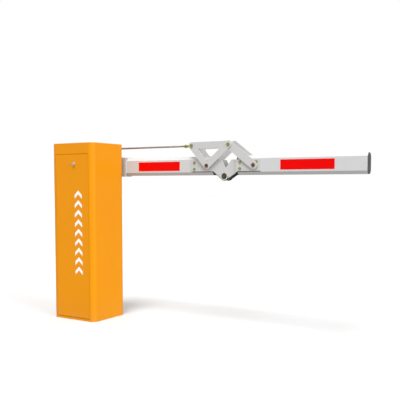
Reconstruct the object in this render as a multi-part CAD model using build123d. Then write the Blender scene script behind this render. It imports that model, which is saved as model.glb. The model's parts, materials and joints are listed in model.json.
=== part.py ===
"""Folding-arm parking barrier gate: steel cabinet, balanced drive, and an arm that folds as it lifts.

Frame: origin at the centre of the base plate's underside, +Z up, +X along the closed arm, +Y from the
cabinet towards the arm. The door faces -Y. All sizes are millimetres.
"""
from build123d import *
from math import atan2, cos, degrees, hypot, radians, sin, sqrt
import os

# ---- cabinet ----
cabinet_w = 300.0            # along X
cabinet_d = 270.0            # along Y
cabinet_h = 980.0
cabinet_corner_r = 30.0
sheet = 2.5                  # cabinet sheet
base_t = 8.0
anchor_x = 180.0             # anchor hole spacing
anchor_y = 150.0
anchor_hole_r = 7.0
cable_hole_r = 30.0
cable_hole_y = 45.0
grommet_bore_r = 22.0
lid_recess = 0.5
lid_gap = 1.0
lid_flange = 22.0

# ---- door ----
door_top_z = 920.0           # top edge of the door opening
door_sill_z = 12.0
door_gap = 1.4
door_t = 2.0
door_return = 13.0
door_lip = 20.0
door_frame_depth = 17.5
hinge_inset = 7.0            # hinge axis behind the cabinet's front face
hinge_rise = 13.0            # hinge axis above the sill
door_foot_gap = 3.0
hinge_pin_r = 3.0
hinge_pin_len = 30.0
lock_x = 16.0
lock_below_top = 54.0
lock_r = 10.0
lock_proud = 7.0             # barrel in front of the door
lock_plug_r = 6.0
decal_x = 45.0
decal_w = 52.0
decal_low_z = 256.0
decal_high_z = 728.0
decal_count = 9
decal_stroke = 20.0
film = 0.4                   # printed and reflective film

# ---- inner frame ----
post_leg = 28.0
post_t = 4.0
post_inset = 12.0
deck_t = 6.0
shaft_deck_drop = 56.5       # deck's top below the shaft
gearbox_deck_top_z = 476.0
deck_opening_x = 224.0
deck_opening_front = -38.0
deck_opening_rear = 48.0

# ---- main shaft and drive ----
shaft_z = 852.5
shaft_r = 17.5
running_fit = 0.05
bearing_width = 32.0
bearing_foot = 124.0
bearing_outer_r = 34.0
seal_gap = 0.4
crank_arm = 80.0             # lever and gearbox crank have the same length
crank_rest_deg = -45.0
gearbox_shaft_z = 580.0
gearbox_w = 120.0
gearbox_depth = 85.0
gearbox_rear_y = -20.0
output_shaft_r = 12.5
motor_r = 46.0
motor_h = 85.0
cowl_h = 35.0
lever_t = 12.0
rod_gap = 0.5
rod_t = 12.0
drive_pin_r = 8.0
eye_r = 16.0
spring_arm = 80.0
spring_y = 24.0
spring_r = 12.0
spring_wire = 3.0
spring_bar_r = 6.0
spring_anchor_z = 500.0
open_pivot_gap = 0.3

# ---- controls ----
back_plate_t = 3.0
back_plate_low_z = 60.0
back_plate_high_z = 440.0
control_box_x = (-95.0, 45.0)
control_box_z = (250.0, 420.0)
control_box_depth = 58.0
cable_pass_x = (60.0, 120.0)     # opening in the gearbox deck for the motor's cables
cable_pass_y = (20.0, 90.0)

# ---- arm ----
arm_gap = 22.5               # from the cabinet's wall to the arm's near face
arm_w = 45.0                 # across, along Y
arm_h = 100.0
arm_bevel_w = 12.0
arm_bevel_h = 16.0
arm_wall = 2.0
arm_back_x = -55.0
arm_1_end_x = 728.0
arm_2_start_x = 877.0
arm_tip_x = 1554.0
tip_cap_len = 3.0
plug_t = 6.0
plug_spigot = 9.0
holder_back_x = -60.0
holder_front_x = 150.0
holder_t = 5.0
flange_r = 40.0
flange_t = 14.0
hub_r = 30.0
strip_len = 280.0
strip_h = 50.0
strip_1_x = 239.0
strip_2_x = 1117.0

# ---- folding linkage ----
crank_pivot_x = 698.0        # on the arm's centre line
tie_pin_dx = -94.0           # tie-rod pin from the crank pivot
tie_pin_dz = 108.0
drive_pin_dx = 130.0         # link pin on the crank from the crank pivot
drive_pin_dz = 109.0
link_pin_x = 972.0           # link pin on the outer arm, on its centre line
fold_gap = 9.6               # between the two arms when folded flat
bracket_t = 4.0
bracket_h = 60.0
bracket_1_x = 598.0
bracket_2_x = 1009.0
lug_r = 22.0
notch_half = 27.0
layer_gap = 0.5
low_head_t = 3.5
link_t = 3.0
link_r = 21.0
crank_t = 3.0
crank_r = 18.0
crank_window_margin = 17.0
pin_r = 6.0
elbow_pin_r = 8.0
elbow_head_r = 15.0
bolt_r = 4.0
bolt_head_r = 7.0
rod_r = 5.0
rod_end_r = 13.0
rod_end_t = 14.0
rod_end_shank = 58.0
boss_r = 15.0

# ---- positions worked out from the sizes above ----
shaft_deck_top_z = shaft_z - shaft_deck_drop
front_y = -cabinet_d / 2
rear_y = cabinet_d / 2
side_x = cabinet_w / 2
opening_half = side_x - cabinet_corner_r
hinge_y = front_y + hinge_inset
hinge_z = door_sill_z + hinge_rise
lock_z = door_top_z - lock_below_top
lip_y = front_y + door_frame_depth
post_x = side_x - post_inset
post_front_y = lip_y + sheet + 2.0
post_rear_y = rear_y - post_inset
deck_x = post_x - post_t
deck_front_y = post_front_y + post_t
deck_rear_y = post_rear_y - post_t
back_plate_y = deck_rear_y - back_plate_t

bearing_y = ((deck_front_y + deck_opening_front) / 2, (deck_opening_rear + deck_rear_y) / 2)
gearbox_front_y = gearbox_rear_y - gearbox_depth
motor_y = (gearbox_front_y + gearbox_rear_y) / 2
arm_y = rear_y + arm_gap + arm_w / 2  # centre plane of the arm
limit_cam_y = bearing_y[0] + bearing_width / 2 + 1.5
arm_bottom_z = shaft_z - arm_h / 2
arm_near_y = arm_y - arm_w / 2
arm_far_y = arm_y + arm_w / 2
crank_pivot = (crank_pivot_x, shaft_z)
tie_pin = (crank_pivot_x + tie_pin_dx, shaft_z + tie_pin_dz)
tie_anchor = (tie_pin_dx, shaft_z + tie_pin_dz)
crank_drive_pin = (crank_pivot_x + drive_pin_dx, shaft_z + drive_pin_dz)
link_pin = (link_pin_x, shaft_z)
elbow_z = arm_bottom_z - fold_gap / 2
# The elbow sits where the same link length closes the linkage both straight and folded by 180 degrees.
link_len = hypot(link_pin[0] - crank_drive_pin[0], link_pin[1] - crank_drive_pin[1])
fold_rise = 2 * shaft_z - drive_pin_dx - 2 * elbow_z
fold_run = sqrt(link_len ** 2 - fold_rise ** 2)
elbow_x = (crank_pivot_x + drive_pin_dz + link_pin_x - fold_run) / 2
elbow = (elbow_x, elbow_z)

bracket_outer = arm_w / 2 + bracket_t
link_inner = bracket_outer + low_head_t + layer_gap
crank_inner = link_inner + link_t + layer_gap
crank_outer = crank_inner + crank_t
crank_pin_at = (crank_arm * cos(radians(crank_rest_deg)), crank_arm * sin(radians(crank_rest_deg)))
lever_pin = (crank_pin_at[0], shaft_z + crank_pin_at[1])
gearbox_pin = (crank_pin_at[0], gearbox_shaft_z + crank_pin_at[1])


# ---- shape helpers ----
def block(x0, x1, y0, y1, z0, z1):
    """Box between two corners."""
    return Pos((x0 + x1) / 2, (y0 + y1) / 2, (z0 + z1) / 2) * Box(abs(x1 - x0), abs(y1 - y0), abs(z1 - z0))


def bar_x(y, z, r, x0, x1):
    """Round bar along X."""
    return Pos((x0 + x1) / 2, y, z) * Rot(0, 90, 0) * Cylinder(r, x1 - x0)


def bar_y(at, r, y0, y1):
    """Round bar along Y at the point (x, z)."""
    return Pos(at[0], (y0 + y1) / 2, at[1]) * Rot(90, 0, 0) * Cylinder(r, y1 - y0)


def bar_z(x, y, r, z0, z1):
    """Round bar along Z."""
    return Pos(x, y, (z0 + z1) / 2) * Cylinder(r, z1 - z0)


def hex_y(at, across, y0, y1):
    """Hexagonal head or nut along Y."""
    head = RegularPolygon(across / 2, 6, major_radius=False)
    return sheet_xz(Pos(at[0], at[1]) * head, y0, y1)


def sheet_xz(sketch, y0, y1):
    """A flat outline drawn in X and Z, given the thickness from y0 to y1."""
    return extrude(Plane((0, y1, 0), x_dir=(1, 0, 0), z_dir=(0, -1, 0)) * sketch, y1 - y0)


def sheet_yz(sketch, x0, x1):
    """A flat outline drawn in Y and Z, given the length from x0 to x1."""
    return extrude(Plane((x0, 0, 0), x_dir=(0, 1, 0), z_dir=(1, 0, 0)) * sketch, x1 - x0)


def outline(*points):
    """Filled polygon through the points."""
    return make_face(Polyline(*points, close=True))


def slot_between(a, b, r):
    """Filled outline of two circles of radius r and the strip between them."""
    turn = degrees(atan2(b[1] - a[1], b[0] - a[0]))
    slot = SlotCenterToCenter(hypot(b[0] - a[0], b[1] - a[1]), 2 * r, rotation=turn)
    return Pos((a[0] + b[0]) / 2, (a[1] + b[1]) / 2) * slot


def layer(sketch, inner, outer, side):
    """A plate beside the arm, between two distances from the arm's centre plane."""
    y_a = arm_y + side * inner
    y_b = arm_y + side * outer
    return sheet_xz(sketch, min(y_a, y_b), max(y_a, y_b))


def layer_bar(at, r, inner, outer, side):
    """A round piece beside the arm, between two distances from its centre plane."""
    y_a = arm_y + side * inner
    y_b = arm_y + side * outer
    return bar_y(at, r, min(y_a, y_b), max(y_a, y_b))


os.makedirs("parts", exist_ok=True)


def save(name, *solids):
    """Write one node; several solids in a node stay separate."""
    shape = solids[0] if len(solids) == 1 else Compound(children=list(solids))
    export_step(shape, f"parts/{name}.step")


# ---- cabinet ----
def rounded(inset, z0, z1):
    """A block with the cabinet's outline, moved inwards by inset."""
    outer = RectangleRounded(cabinet_w - 2 * inset, cabinet_d - 2 * inset, cabinet_corner_r - inset)
    return Pos(0, 0, z0) * extrude(outer, z1 - z0)


def make_base_plate():
    plate = rounded(0, 0, base_t)
    for x in (-anchor_x / 2, anchor_x / 2):
        for y in (-anchor_y / 2, anchor_y / 2):
            plate -= bar_z(x, y, anchor_hole_r, -1, base_t + 1)
    return plate - bar_z(0, cable_hole_y, cable_hole_r, -1, base_t + 1)


def make_shell():
    lid_seat_z = cabinet_h - lid_recess - sheet
    shell = rounded(0, base_t, cabinet_h) - rounded(sheet, base_t - 1, cabinet_h + 1)
    ring = rounded(sheet / 2, lid_seat_z - sheet, lid_seat_z) - rounded(lid_flange, 0, cabinet_h + 1)
    shell += ring
    door_hole = block(-opening_half, opening_half, front_y - 1, front_y + sheet + 1,
                      door_sill_z, door_top_z)
    wide = block(-opening_half - sheet, opening_half + sheet, front_y + sheet / 2, lip_y + sheet,
                 door_sill_z - sheet, door_top_z + sheet)
    bore = block(-opening_half, opening_half, front_y - 1, lip_y, door_sill_z, door_top_z)
    window = block(-opening_half + door_lip, opening_half - door_lip, front_y, lip_y + sheet + 1,
                   door_sill_z + door_lip, door_top_z - door_lip)
    shell += wide - bore - window
    shell -= door_hole
    return shell - bar_y((0, shaft_z), shaft_r + 9, rear_y - sheet - 1, rear_y + 1)


def make_lid():
    lid = rounded(sheet + lid_gap, cabinet_h - lid_recess - sheet, cabinet_h - lid_recess)
    for x, y in lid_screw_points():
        lid -= bar_z(x, y, 2.6, cabinet_h - 10, cabinet_h + 1)
    return lid


def lid_screw_points():
    inset = sheet + lid_flange / 2
    return [(sx * (side_x - inset - 14), sy * (rear_y - inset - 2)) for sx in (-1, 1) for sy in (-1, 1)]


def make_lid_screws():
    top_z = cabinet_h - lid_recess
    return [bar_z(x, y, 5, top_z, top_z + lid_recess - 0.1) + bar_z(x, y, 2.5, top_z - sheet, top_z)
            for x, y in lid_screw_points()]


def make_posts():
    posts = []
    for sx in (-1, 1):
        for y_outer, sy in ((post_front_y, -1), (post_rear_y, 1)):
            x_leg = sorted((sx * post_x, sx * (post_x - post_leg)))
            x_web = sorted((sx * post_x, sx * (post_x - post_t)))
            y_leg = sorted((y_outer, y_outer - sy * post_leg))
            y_web = sorted((y_outer, y_outer - sy * post_t))
            top_z = cabinet_h - lid_recess - 2 * sheet
            posts.append(block(*x_leg, *y_web, base_t, top_z) + block(*x_web, *y_leg, base_t, top_z))
    return posts


def make_shaft_deck():
    deck = block(-deck_x, deck_x, deck_front_y, deck_rear_y, shaft_deck_top_z - deck_t, shaft_deck_top_z)
    return deck - block(-deck_opening_x / 2, deck_opening_x / 2, deck_opening_front, deck_opening_rear,
                        shaft_deck_top_z - deck_t - 1, shaft_deck_top_z + 1)


def make_gearbox_deck():
    z0 = gearbox_deck_top_z - deck_t
    deck = block(-deck_x, deck_x, deck_front_y, deck_rear_y, z0, gearbox_deck_top_z)
    return deck - block(*cable_pass_x, *cable_pass_y, z0 - 1, gearbox_deck_top_z + 1)


def make_grommet():
    ring = bar_z(0, cable_hole_y, cable_hole_r, 0, base_t)
    ring += bar_z(0, cable_hole_y, cable_hole_r + 8, base_t, base_t + 4)
    return ring - bar_z(0, cable_hole_y, grommet_bore_r, -1, base_t + 5)


# ---- door and lock ----
def make_door():
    half = opening_half - door_gap
    z0 = door_sill_z + door_foot_gap
    z1 = door_top_z - door_gap
    back = front_y + door_t + door_return
    door = block(-half, half, front_y, front_y + door_t, z0, z1)
    for s in (-1, 1):
        xs = sorted((s * half, s * (half - door_t)))
        door += block(*xs, front_y, back, hinge_z - 4, z1)
        knuckle = block(*sorted((s * (half - door_t), s * (half - door_t - 16))), front_y + door_t / 2,
                        hinge_y + 5.5, hinge_z - 5.5, hinge_z + 5.5)
        door += knuckle
    door += block(-half, half, front_y, back, z1 - door_t, z1)
    door -= bar_x(hinge_y, hinge_z, hinge_pin_r + running_fit, -half - 1, half + 1)
    return door - bar_y((lock_x, lock_z), lock_r - 1, front_y - 1, front_y + door_t + 1)


def make_hinge_pins():
    inner = opening_half - hinge_pin_len + 4
    return [bar_x(hinge_y, hinge_z, hinge_pin_r, *sorted((s * inner, s * opening_half))) for s in (-1, 1)]


def make_lock_barrel():
    face_y = front_y - lock_proud
    barrel = bar_y((lock_x, lock_z), lock_r, face_y, front_y)
    barrel = fillet(barrel.faces().sort_by(Axis.Y)[0].edges(), 1.5)
    barrel += bar_y((lock_x, lock_z), lock_r - 1, front_y, lip_y - 1)
    barrel += hex_y((lock_x, lock_z), 24, front_y + door_t, front_y + door_t + 4)
    return barrel - bar_y((lock_x, lock_z), lock_plug_r + running_fit, face_y - 1, lip_y)


def make_lock_plug():
    face_y = front_y - lock_proud - 0.5
    plug = bar_y((lock_x, lock_z), lock_plug_r, face_y, lip_y + sheet + 0.5)
    return plug - block(lock_x - 0.8, lock_x + 0.8, face_y - 0.5, front_y, lock_z - 4, lock_z + 4)


def make_lock_cam():
    cam_y = lip_y + sheet + 0.5
    reach = lock_below_top - 5
    cam = sheet_xz(slot_between((lock_x, lock_z), (lock_x + reach - 7, lock_z), 7), cam_y, cam_y + 3)
    return cam + hex_y((lock_x, lock_z), 10, cam_y + 3, cam_y + 6)


def make_decal():
    pitch = (decal_high_z - decal_low_z) / decal_count
    marks = []
    for i in range(decal_count):
        low = decal_low_z + i * pitch
        half = decal_w / 2
        rise = pitch - decal_stroke - 8
        mark = outline((decal_x - half, low), (decal_x, low + rise), (decal_x + half, low),
                       (decal_x + half, low + decal_stroke), (decal_x, low + rise + decal_stroke),
                       (decal_x - half, low + decal_stroke))
        marks.append(sheet_xz(mark, front_y - film, front_y))
    return marks


# ---- drive ----
def make_bearing(y):
    y0 = y - bearing_width / 2
    y1 = y + bearing_width / 2
    foot = block(-bearing_foot / 2, bearing_foot / 2, y0, y1, shaft_deck_top_z, shaft_deck_top_z + 14)
    neck = block(-bearing_outer_r, bearing_outer_r, y0 + 3, y1 - 3, shaft_deck_top_z, shaft_z)
    body = foot + neck + bar_y((0, shaft_z), bearing_outer_r, y0 + 3, y1 - 3)
    body += bar_y((0, shaft_z), shaft_r + 9, y0, y1)
    for x in (-bearing_foot / 2 + 14, bearing_foot / 2 - 14):
        body -= bar_z(x, y, 5.5, shaft_deck_top_z - 1, shaft_deck_top_z + 15)
    return body - bar_y((0, shaft_z), shaft_r + running_fit, y0 - 1, y1 + 1)


def make_bearing_bolts():
    bolts = []
    for y in bearing_y:
        for x in (-bearing_foot / 2 + 14, bearing_foot / 2 - 14):
            top = shaft_deck_top_z + 14
            bolts.append(bar_z(x, y, 5, shaft_deck_top_z, top) + bar_z(x, y, 9, top, top + 7))
    return bolts


def make_seal():
    seal = bar_y((0, shaft_z), shaft_r + 9, rear_y - sheet, rear_y)
    seal += bar_y((0, shaft_z), shaft_r + 13, rear_y, rear_y + 2.5)
    return seal - bar_y((0, shaft_z), shaft_r + seal_gap, rear_y - sheet - 1, rear_y + 4)


def make_gearbox():
    half = gearbox_w / 2
    top = gearbox_shaft_z + 60
    body = block(-half + 6, half - 6, gearbox_front_y + 4, gearbox_rear_y, gearbox_deck_top_z + 12, top)
    body = fillet(body.edges().filter_by(Axis.Y), 12)
    foot_top = gearbox_deck_top_z + 12
    body += block(-half, half, gearbox_front_y, gearbox_rear_y, gearbox_deck_top_z, foot_top)
    body += bar_y((0, gearbox_shaft_z), 35, gearbox_rear_y, gearbox_rear_y + 10)
    body += bar_y((0, gearbox_shaft_z), 42, gearbox_front_y, gearbox_front_y + 4)
    for x in (-40, -13, 13, 40):
        body += block(x - 2, x + 2, gearbox_front_y, gearbox_front_y + 6, foot_top, top - 16)
    return body - bar_y((0, gearbox_shaft_z), output_shaft_r + running_fit,
                        gearbox_rear_y - 50, gearbox_rear_y + 11)


def make_motor():
    z0 = gearbox_shaft_z + 60
    body = bar_z(0, motor_y, motor_r - 5, z0, z0 + motor_h)
    body += bar_z(0, motor_y, motor_r + 2, z0, z0 + 6)
    for i in range(20):
        fin = block(0, motor_r, -1, 1, z0 + 10, z0 + motor_h - 6)
        body += Pos(0, motor_y, 0) * Rot(0, 0, i * 18) * fin
    body += block(motor_r - 8, motor_r + 14, motor_y - 20, motor_y + 20, z0 + 30, z0 + 75)
    return body


def make_cowl():
    z0 = gearbox_shaft_z + 60 + motor_h
    z1 = z0 + cowl_h
    cowl = bar_z(0, motor_y, motor_r + 2, z0, z1) - bar_z(0, motor_y, motor_r, z0 - 1, z1 - 2)
    for r in (14, 24, 34):
        slot = bar_z(0, motor_y, r + 2, z1 - 3, z1 + 1) - bar_z(0, motor_y, r - 2, z1 - 3, z1 + 1)
        cowl -= slot
    for turn in (0, 90):
        cowl += Pos(0, motor_y, 0) * Rot(0, 0, turn) * block(-40, 40, -2.5, 2.5, z1 - 2, z1)
    return cowl


def make_output_crank():
    half = lever_t / 2
    crank = bar_y((0, gearbox_shaft_z), output_shaft_r, gearbox_rear_y - 48, half + 6)
    crank += bar_y((0, gearbox_shaft_z), 24, -half, half)
    crank += sheet_xz(slot_between((0, gearbox_shaft_z), gearbox_pin, eye_r), -half, half)
    return crank + bar_y(gearbox_pin, drive_pin_r, -half, half + rod_gap + rod_t + 2)


def make_lever():
    half = lever_t / 2
    lever = bar_y((0, shaft_z), 32, -half - 8, half)
    lever += sheet_xz(slot_between((0, shaft_z), lever_pin, eye_r), -half, half)
    lever += sheet_xz(slot_between((0, shaft_z), (-spring_arm, shaft_z), 14), -half, half)
    lever -= bar_y((0, shaft_z), shaft_r, -half - 9, half + 1)
    lever -= bar_y((-spring_arm, shaft_z), spring_bar_r, -half - 1, half + 1)
    return lever - bar_y(lever_pin, drive_pin_r, -half - 1, half + 1)


def make_connecting_rod():
    y0 = lever_t / 2 + rod_gap
    rod = sheet_xz(slot_between(gearbox_pin, lever_pin, 9), y0 + 1, y0 + rod_t - 1)
    rod += bar_y(gearbox_pin, eye_r, y0, y0 + rod_t)
    rod += bar_y(lever_pin, eye_r, y0, y0 + rod_t)
    rod -= bar_y(gearbox_pin, drive_pin_r + running_fit, y0 - 1, y0 + rod_t + 1)
    return rod - bar_y(lever_pin, drive_pin_r + open_pivot_gap, y0 - 1, y0 + rod_t + 1)


def make_lever_pins():
    half = lever_t / 2
    drive = bar_y(lever_pin, drive_pin_r, -half, half + rod_gap + rod_t + 2)
    spring_bar = bar_y((-spring_arm, shaft_z), spring_bar_r, -spring_y - 9, spring_y + 9)
    return [drive, spring_bar]


def make_spring(y):
    top = shaft_z - 20
    low = spring_anchor_z + 20
    coil = bar_z(-spring_arm, y, spring_r, low, top)
    coil -= bar_z(-spring_arm, y, spring_r - spring_wire, low - 1, top + 1)
    for z_hook, z_end in ((shaft_z, top), (spring_anchor_z, low)):
        loop = Pos(-spring_arm, y, z_hook) * Rot(90, 0, 0) * Torus(spring_bar_r + 2.1, 1.5)
        ends = sorted((z_end, z_hook + (-8.1 if z_end < z_hook else 8.1)))
        coil += loop + bar_z(-spring_arm, y, 1.5, ends[0], ends[1])
        coil += block(-spring_arm - spring_r + 1, -spring_arm + spring_r - 1, y - 1.5, y + 1.5,
                      min(z_end, z_end + (1.5 if z_end < z_hook else -1.5)) - 1.5, z_end + 1.5)
    return coil


def make_spring_anchor():
    y_lug = spring_y + 14
    anchor = bar_y((-spring_arm, spring_anchor_z), spring_bar_r, -y_lug, y_lug)
    for s in (-1, 1):
        ys = sorted((s * y_lug, s * (y_lug + 6)))
        anchor += block(-spring_arm - 12, -spring_arm + 12, *ys, gearbox_deck_top_z, spring_anchor_z + 12)
    return anchor


def make_stop_brackets():
    z_low = lever_pin[1] - eye_r - 14
    deck_low_z = shaft_deck_top_z - deck_t
    low_leg = deck_opening_front - 20
    low = block(54, 76, low_leg, 6, z_low - 6, z_low)
    low += block(54, 76, low_leg, low_leg + 6, z_low - 6, deck_low_z)
    z_high = shaft_z - spring_arm - 8
    high_leg = deck_opening_rear + 10
    high = block(21, 40, -6, high_leg + 6, z_high - 8, z_high - 2)
    high += block(21, 40, high_leg, high_leg + 6, z_high - 8, deck_low_z)
    high += block(34, 40, -6, 6, z_high - 8, z_high + 18)
    return [low, high]


def make_stop_pads():
    z_low = lever_pin[1] - eye_r - 14
    z_high = shaft_z - spring_arm - 8
    return [block(57, 73, -6, 6, z_low, z_low + 13), block(15, 34, -6, 6, z_high, z_high + 16)]


def make_limit_cam():
    y0 = limit_cam_y
    y1 = y0 + 8
    cam = bar_y((0, shaft_z), 24, y0, y1) + sheet_xz(slot_between((0, shaft_z), (20, shaft_z), 9), y0, y1)
    return cam - bar_y((0, shaft_z), shaft_r, y0 - 1, y1 + 1)


def make_limit_switches():
    body = []
    for s in (-1, 1):
        x0, x1 = sorted((s * 40, s * 62))
        top = shaft_deck_top_z + 34
        case = block(x0, x1, limit_cam_y - 1, limit_cam_y + 11, shaft_deck_top_z, top)
        plunger = block(s * 51 - 2, s * 51 + 2, limit_cam_y + 2, limit_cam_y + 6, top, top + 8)
        body.append(case + plunger)
    return body


# ---- controls ----
def make_back_plate():
    return block(-deck_x + 4, deck_x - 4, back_plate_y, deck_rear_y, back_plate_low_z, back_plate_high_z)


def make_control_box():
    return block(*control_box_x, back_plate_y - control_box_depth, back_plate_y, *control_box_z)


def make_control_cover():
    """A lid that overhangs the box by 2 mm all round."""
    x0, x1 = control_box_x
    z0, z1 = control_box_z
    box_front_y = back_plate_y - control_box_depth
    cover = block(x0 - 2, x1 + 2, box_front_y - 5, box_front_y, z0 - 2, z1 + 2)
    return fillet(cover.edges().filter_by(Axis.Y), 6)


def make_terminals():
    y1 = back_plate_y
    strip = block(-80, 80, y1 - 8, y1, 180, 210)
    for i in range(12):
        x = -72 + i * 13
        strip += block(x - 5, x + 5, y1 - 24, y1 - 8, 184, 206)
    return strip


# ---- arm ----
def arm_section(shrink):
    """Octagonal outline of the arm tube in Y and Z, moved inwards by shrink."""
    w = arm_w / 2 - shrink
    h = arm_h / 2 - shrink
    cut = shrink * 0.55
    bw = arm_bevel_w - cut
    bh = arm_bevel_h - cut
    return Pos(arm_y, shaft_z) * outline((-w + bw, -h), (w - bw, -h), (w, -h + bh), (w, h - bh),
                                         (w - bw, h), (-w + bw, h), (-w, h - bh), (-w, -h + bh))


def arm_tube(x0, x1, holes):
    tube = sheet_yz(arm_section(0), x0, x1) - sheet_yz(arm_section(arm_wall), x0 - 1, x1 + 1)
    for at, r in holes:
        tube -= bar_y(at, r, arm_near_y - 1, arm_far_y + 1)
    return tube


def holder_bolt_points():
    return [(x, shaft_z + s * 30) for x in (-44, 48, 108) for s in (-1, 1)]


def bracket_1_bolts():
    return [(bracket_1_x + 18, shaft_z + s * 17) for s in (-1, 1)]


def bracket_2_bolts():
    first_x = arm_2_start_x + 15
    return [(first_x, shaft_z + 17), (first_x, shaft_z - 17), (link_pin_x + 14, shaft_z + 17)]


def make_holder():
    inner_y = arm_near_y
    z0 = arm_bottom_z
    z1 = arm_bottom_z + arm_h
    holder = block(holder_back_x, holder_front_x, inner_y - holder_t, inner_y,
                   z0 - holder_t + 1, z1 + holder_t)
    holder += block(holder_back_x, holder_front_x, inner_y - holder_t, arm_far_y, z1, z1 + holder_t)
    holder += block(holder_back_x, holder_front_x, inner_y - holder_t, arm_far_y, z0 - holder_t + 1, z0)
    for at in holder_bolt_points():
        holder -= bar_y(at, bolt_r, inner_y - holder_t - 1, inner_y + 1)
    return holder


def make_holder_cover():
    cover = block(holder_back_x, holder_front_x, arm_far_y, arm_far_y + holder_t,
                  arm_bottom_z - holder_t + 1, arm_bottom_z + arm_h + holder_t)
    for at in holder_bolt_points():
        cover -= bar_y(at, bolt_r, arm_far_y - 1, arm_far_y + holder_t + 1)
    return cover


def through_bolts(points, y0, y1, head_t):
    """Bolts across the arm: a round head on the near side and a hexagonal nut on the far side."""
    bolts = []
    for at in points:
        bolt = bar_y(at, bolt_r, y0, y1) + bar_y(at, bolt_head_r, y0 - head_t, y0)
        bolts.append(bolt + hex_y(at, 12, y1, y1 + head_t))
    return bolts


def make_shaft():
    front_end = bearing_y[0] - bearing_width / 2 - 8
    return bar_y((0, shaft_z), shaft_r, front_end, arm_near_y - holder_t - flange_t)


def make_flange():
    y1 = arm_near_y - holder_t
    flange = bar_y((0, shaft_z), flange_r, y1 - 6, y1) + bar_y((0, shaft_z), hub_r, y1 - flange_t, y1)
    for i in range(4):
        turn = radians(45 + 90 * i)
        at = ((flange_r - 7) * cos(turn), shaft_z + (flange_r - 7) * sin(turn))
        flange += hex_y(at, 10, y1 - 11, y1 - 6)
    return flange


def make_strip(x0):
    z0 = shaft_z - strip_h / 2
    return [block(x0, x0 + strip_len, arm_near_y - film, arm_near_y, z0, z0 + strip_h),
            block(x0, x0 + strip_len, arm_far_y, arm_far_y + film, z0, z0 + strip_h)]


def make_plug(x_face, direction):
    """Black plug: a spigot inside the tube and a rim against its end."""
    x_in, x_out = sorted((x_face, x_face - direction * plug_spigot))
    rim = sorted((x_face, x_face + direction * plug_t))
    spigot = sheet_yz(arm_section(arm_wall), x_in, x_out)
    return spigot + sheet_yz(arm_section(0), rim[0], rim[1])


def make_tip_cap():
    cap = sheet_yz(arm_section(0), arm_tip_x, arm_tip_x + tip_cap_len)
    cap = chamfer(cap.faces().sort_by(Axis.X)[-1].edges(), 1)
    return cap + sheet_yz(arm_section(arm_wall), arm_tip_x - 20, arm_tip_x)


def tangent_lug(x_corner, z_corner, side):
    """Where a line from a plate corner touches the elbow's circle; side 1 goes clockwise round it."""
    reach = hypot(x_corner - elbow_x, z_corner - elbow_z)
    base = atan2(z_corner - elbow_z, x_corner - elbow_x)
    turn = base - side * atan2(sqrt(reach ** 2 - lug_r ** 2), lug_r)
    return (elbow_x + lug_r * cos(turn), elbow_z + lug_r * sin(turn))


def bracket_outline(x_far, x_top, x_low, side):
    """Side plate of an elbow bracket: a strip on the arm and a lug that reaches the elbow pin."""
    z0 = shaft_z - bracket_h / 2
    z1 = shaft_z + bracket_h / 2
    top_touch = tangent_lug(x_top, z1, side)
    low_touch = tangent_lug(x_low, z0, -side)
    plate = outline((x_far, z0), (x_far, z1), (x_top, z1), top_touch, elbow, low_touch, (x_low, z0))
    return plate + Pos(*elbow) * Circle(lug_r)


def make_bracket_1():
    x_top = elbow_x - notch_half + 14
    x_low = arm_1_end_x + plug_t
    flat = bracket_outline(bracket_1_x, x_top, x_low, 1)
    z0 = shaft_z - bracket_h / 2
    plates = [layer(flat, arm_w / 2, bracket_outer, s) for s in (-1, 1)]
    low_touch = tangent_lug(x_low, z0, -1)
    step = (low_touch[0] - x_low) * 0.45
    drop = (low_touch[1] - z0) * 0.45
    web = outline((x_low + 1, z0), (x_low + 1 + step, z0 + drop), (x_low + 5 + step, z0 + drop + 3),
                  (x_low + 5, z0 + 3))
    web_plate = sheet_xz(web, arm_y - arm_w / 2 - 1, arm_y + arm_w / 2 + 1)
    bracket = plates[0] + web_plate + plates[1]
    for at in bracket_1_bolts():
        bracket -= bar_y(at, bolt_r, arm_near_y - 20, arm_far_y + 20)
    bracket -= bar_y(crank_pivot, pin_r, arm_near_y - 20, arm_far_y + 20)
    return bracket - bar_y(elbow, elbow_pin_r, arm_near_y - 20, arm_far_y + 20)


def make_bracket_2():
    """Plates outside the arm whose lugs step inwards and pass between the first bracket's lugs."""
    x_top = elbow_x + notch_half + 14
    x_low = arm_2_start_x + 3
    flat = bracket_outline(bracket_2_x, x_top, x_low, -1)
    inner = arm_w / 2 - layer_gap
    x_step = arm_2_start_x - plug_t
    z0 = shaft_z - bracket_h / 2
    step_len = 4.0
    sides = []
    for s in (-1, 1):
        full = layer(flat, inner - bracket_t, bracket_outer, s)
        full -= block(elbow_x - 60, x_step - step_len, *sorted((arm_y + s * inner, arm_y + s * 60)),
                      elbow_z - 60, shaft_z + 60)
        full -= block(x_step, bracket_2_x + 1, *sorted((arm_y, arm_y + s * arm_w / 2)),
                      elbow_z - 60, shaft_z + 60)
        sides.append(full)
    low_touch = tangent_lug(x_low, z0, 1)
    web = outline((x_step - 1, z0 - (x_low - x_step) * 0.55), (low_touch[0] + 3, low_touch[1] + 2),
                  (low_touch[0] + 1, low_touch[1] + 5), (x_step - 1, z0 + 3 - (x_low - x_step) * 0.55))
    bracket = sides[0] + sheet_xz(web, arm_y - inner + 1, arm_y + inner - 1) + sides[1]
    for at in bracket_2_bolts():
        bracket -= bar_y(at, bolt_r, arm_near_y - 20, arm_far_y + 20)
    bracket -= bar_y(link_pin, pin_r + open_pivot_gap, arm_near_y - 20, arm_far_y + 20)
    return bracket - bar_y(elbow, elbow_pin_r + running_fit, arm_near_y - 20, arm_far_y + 20)


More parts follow.
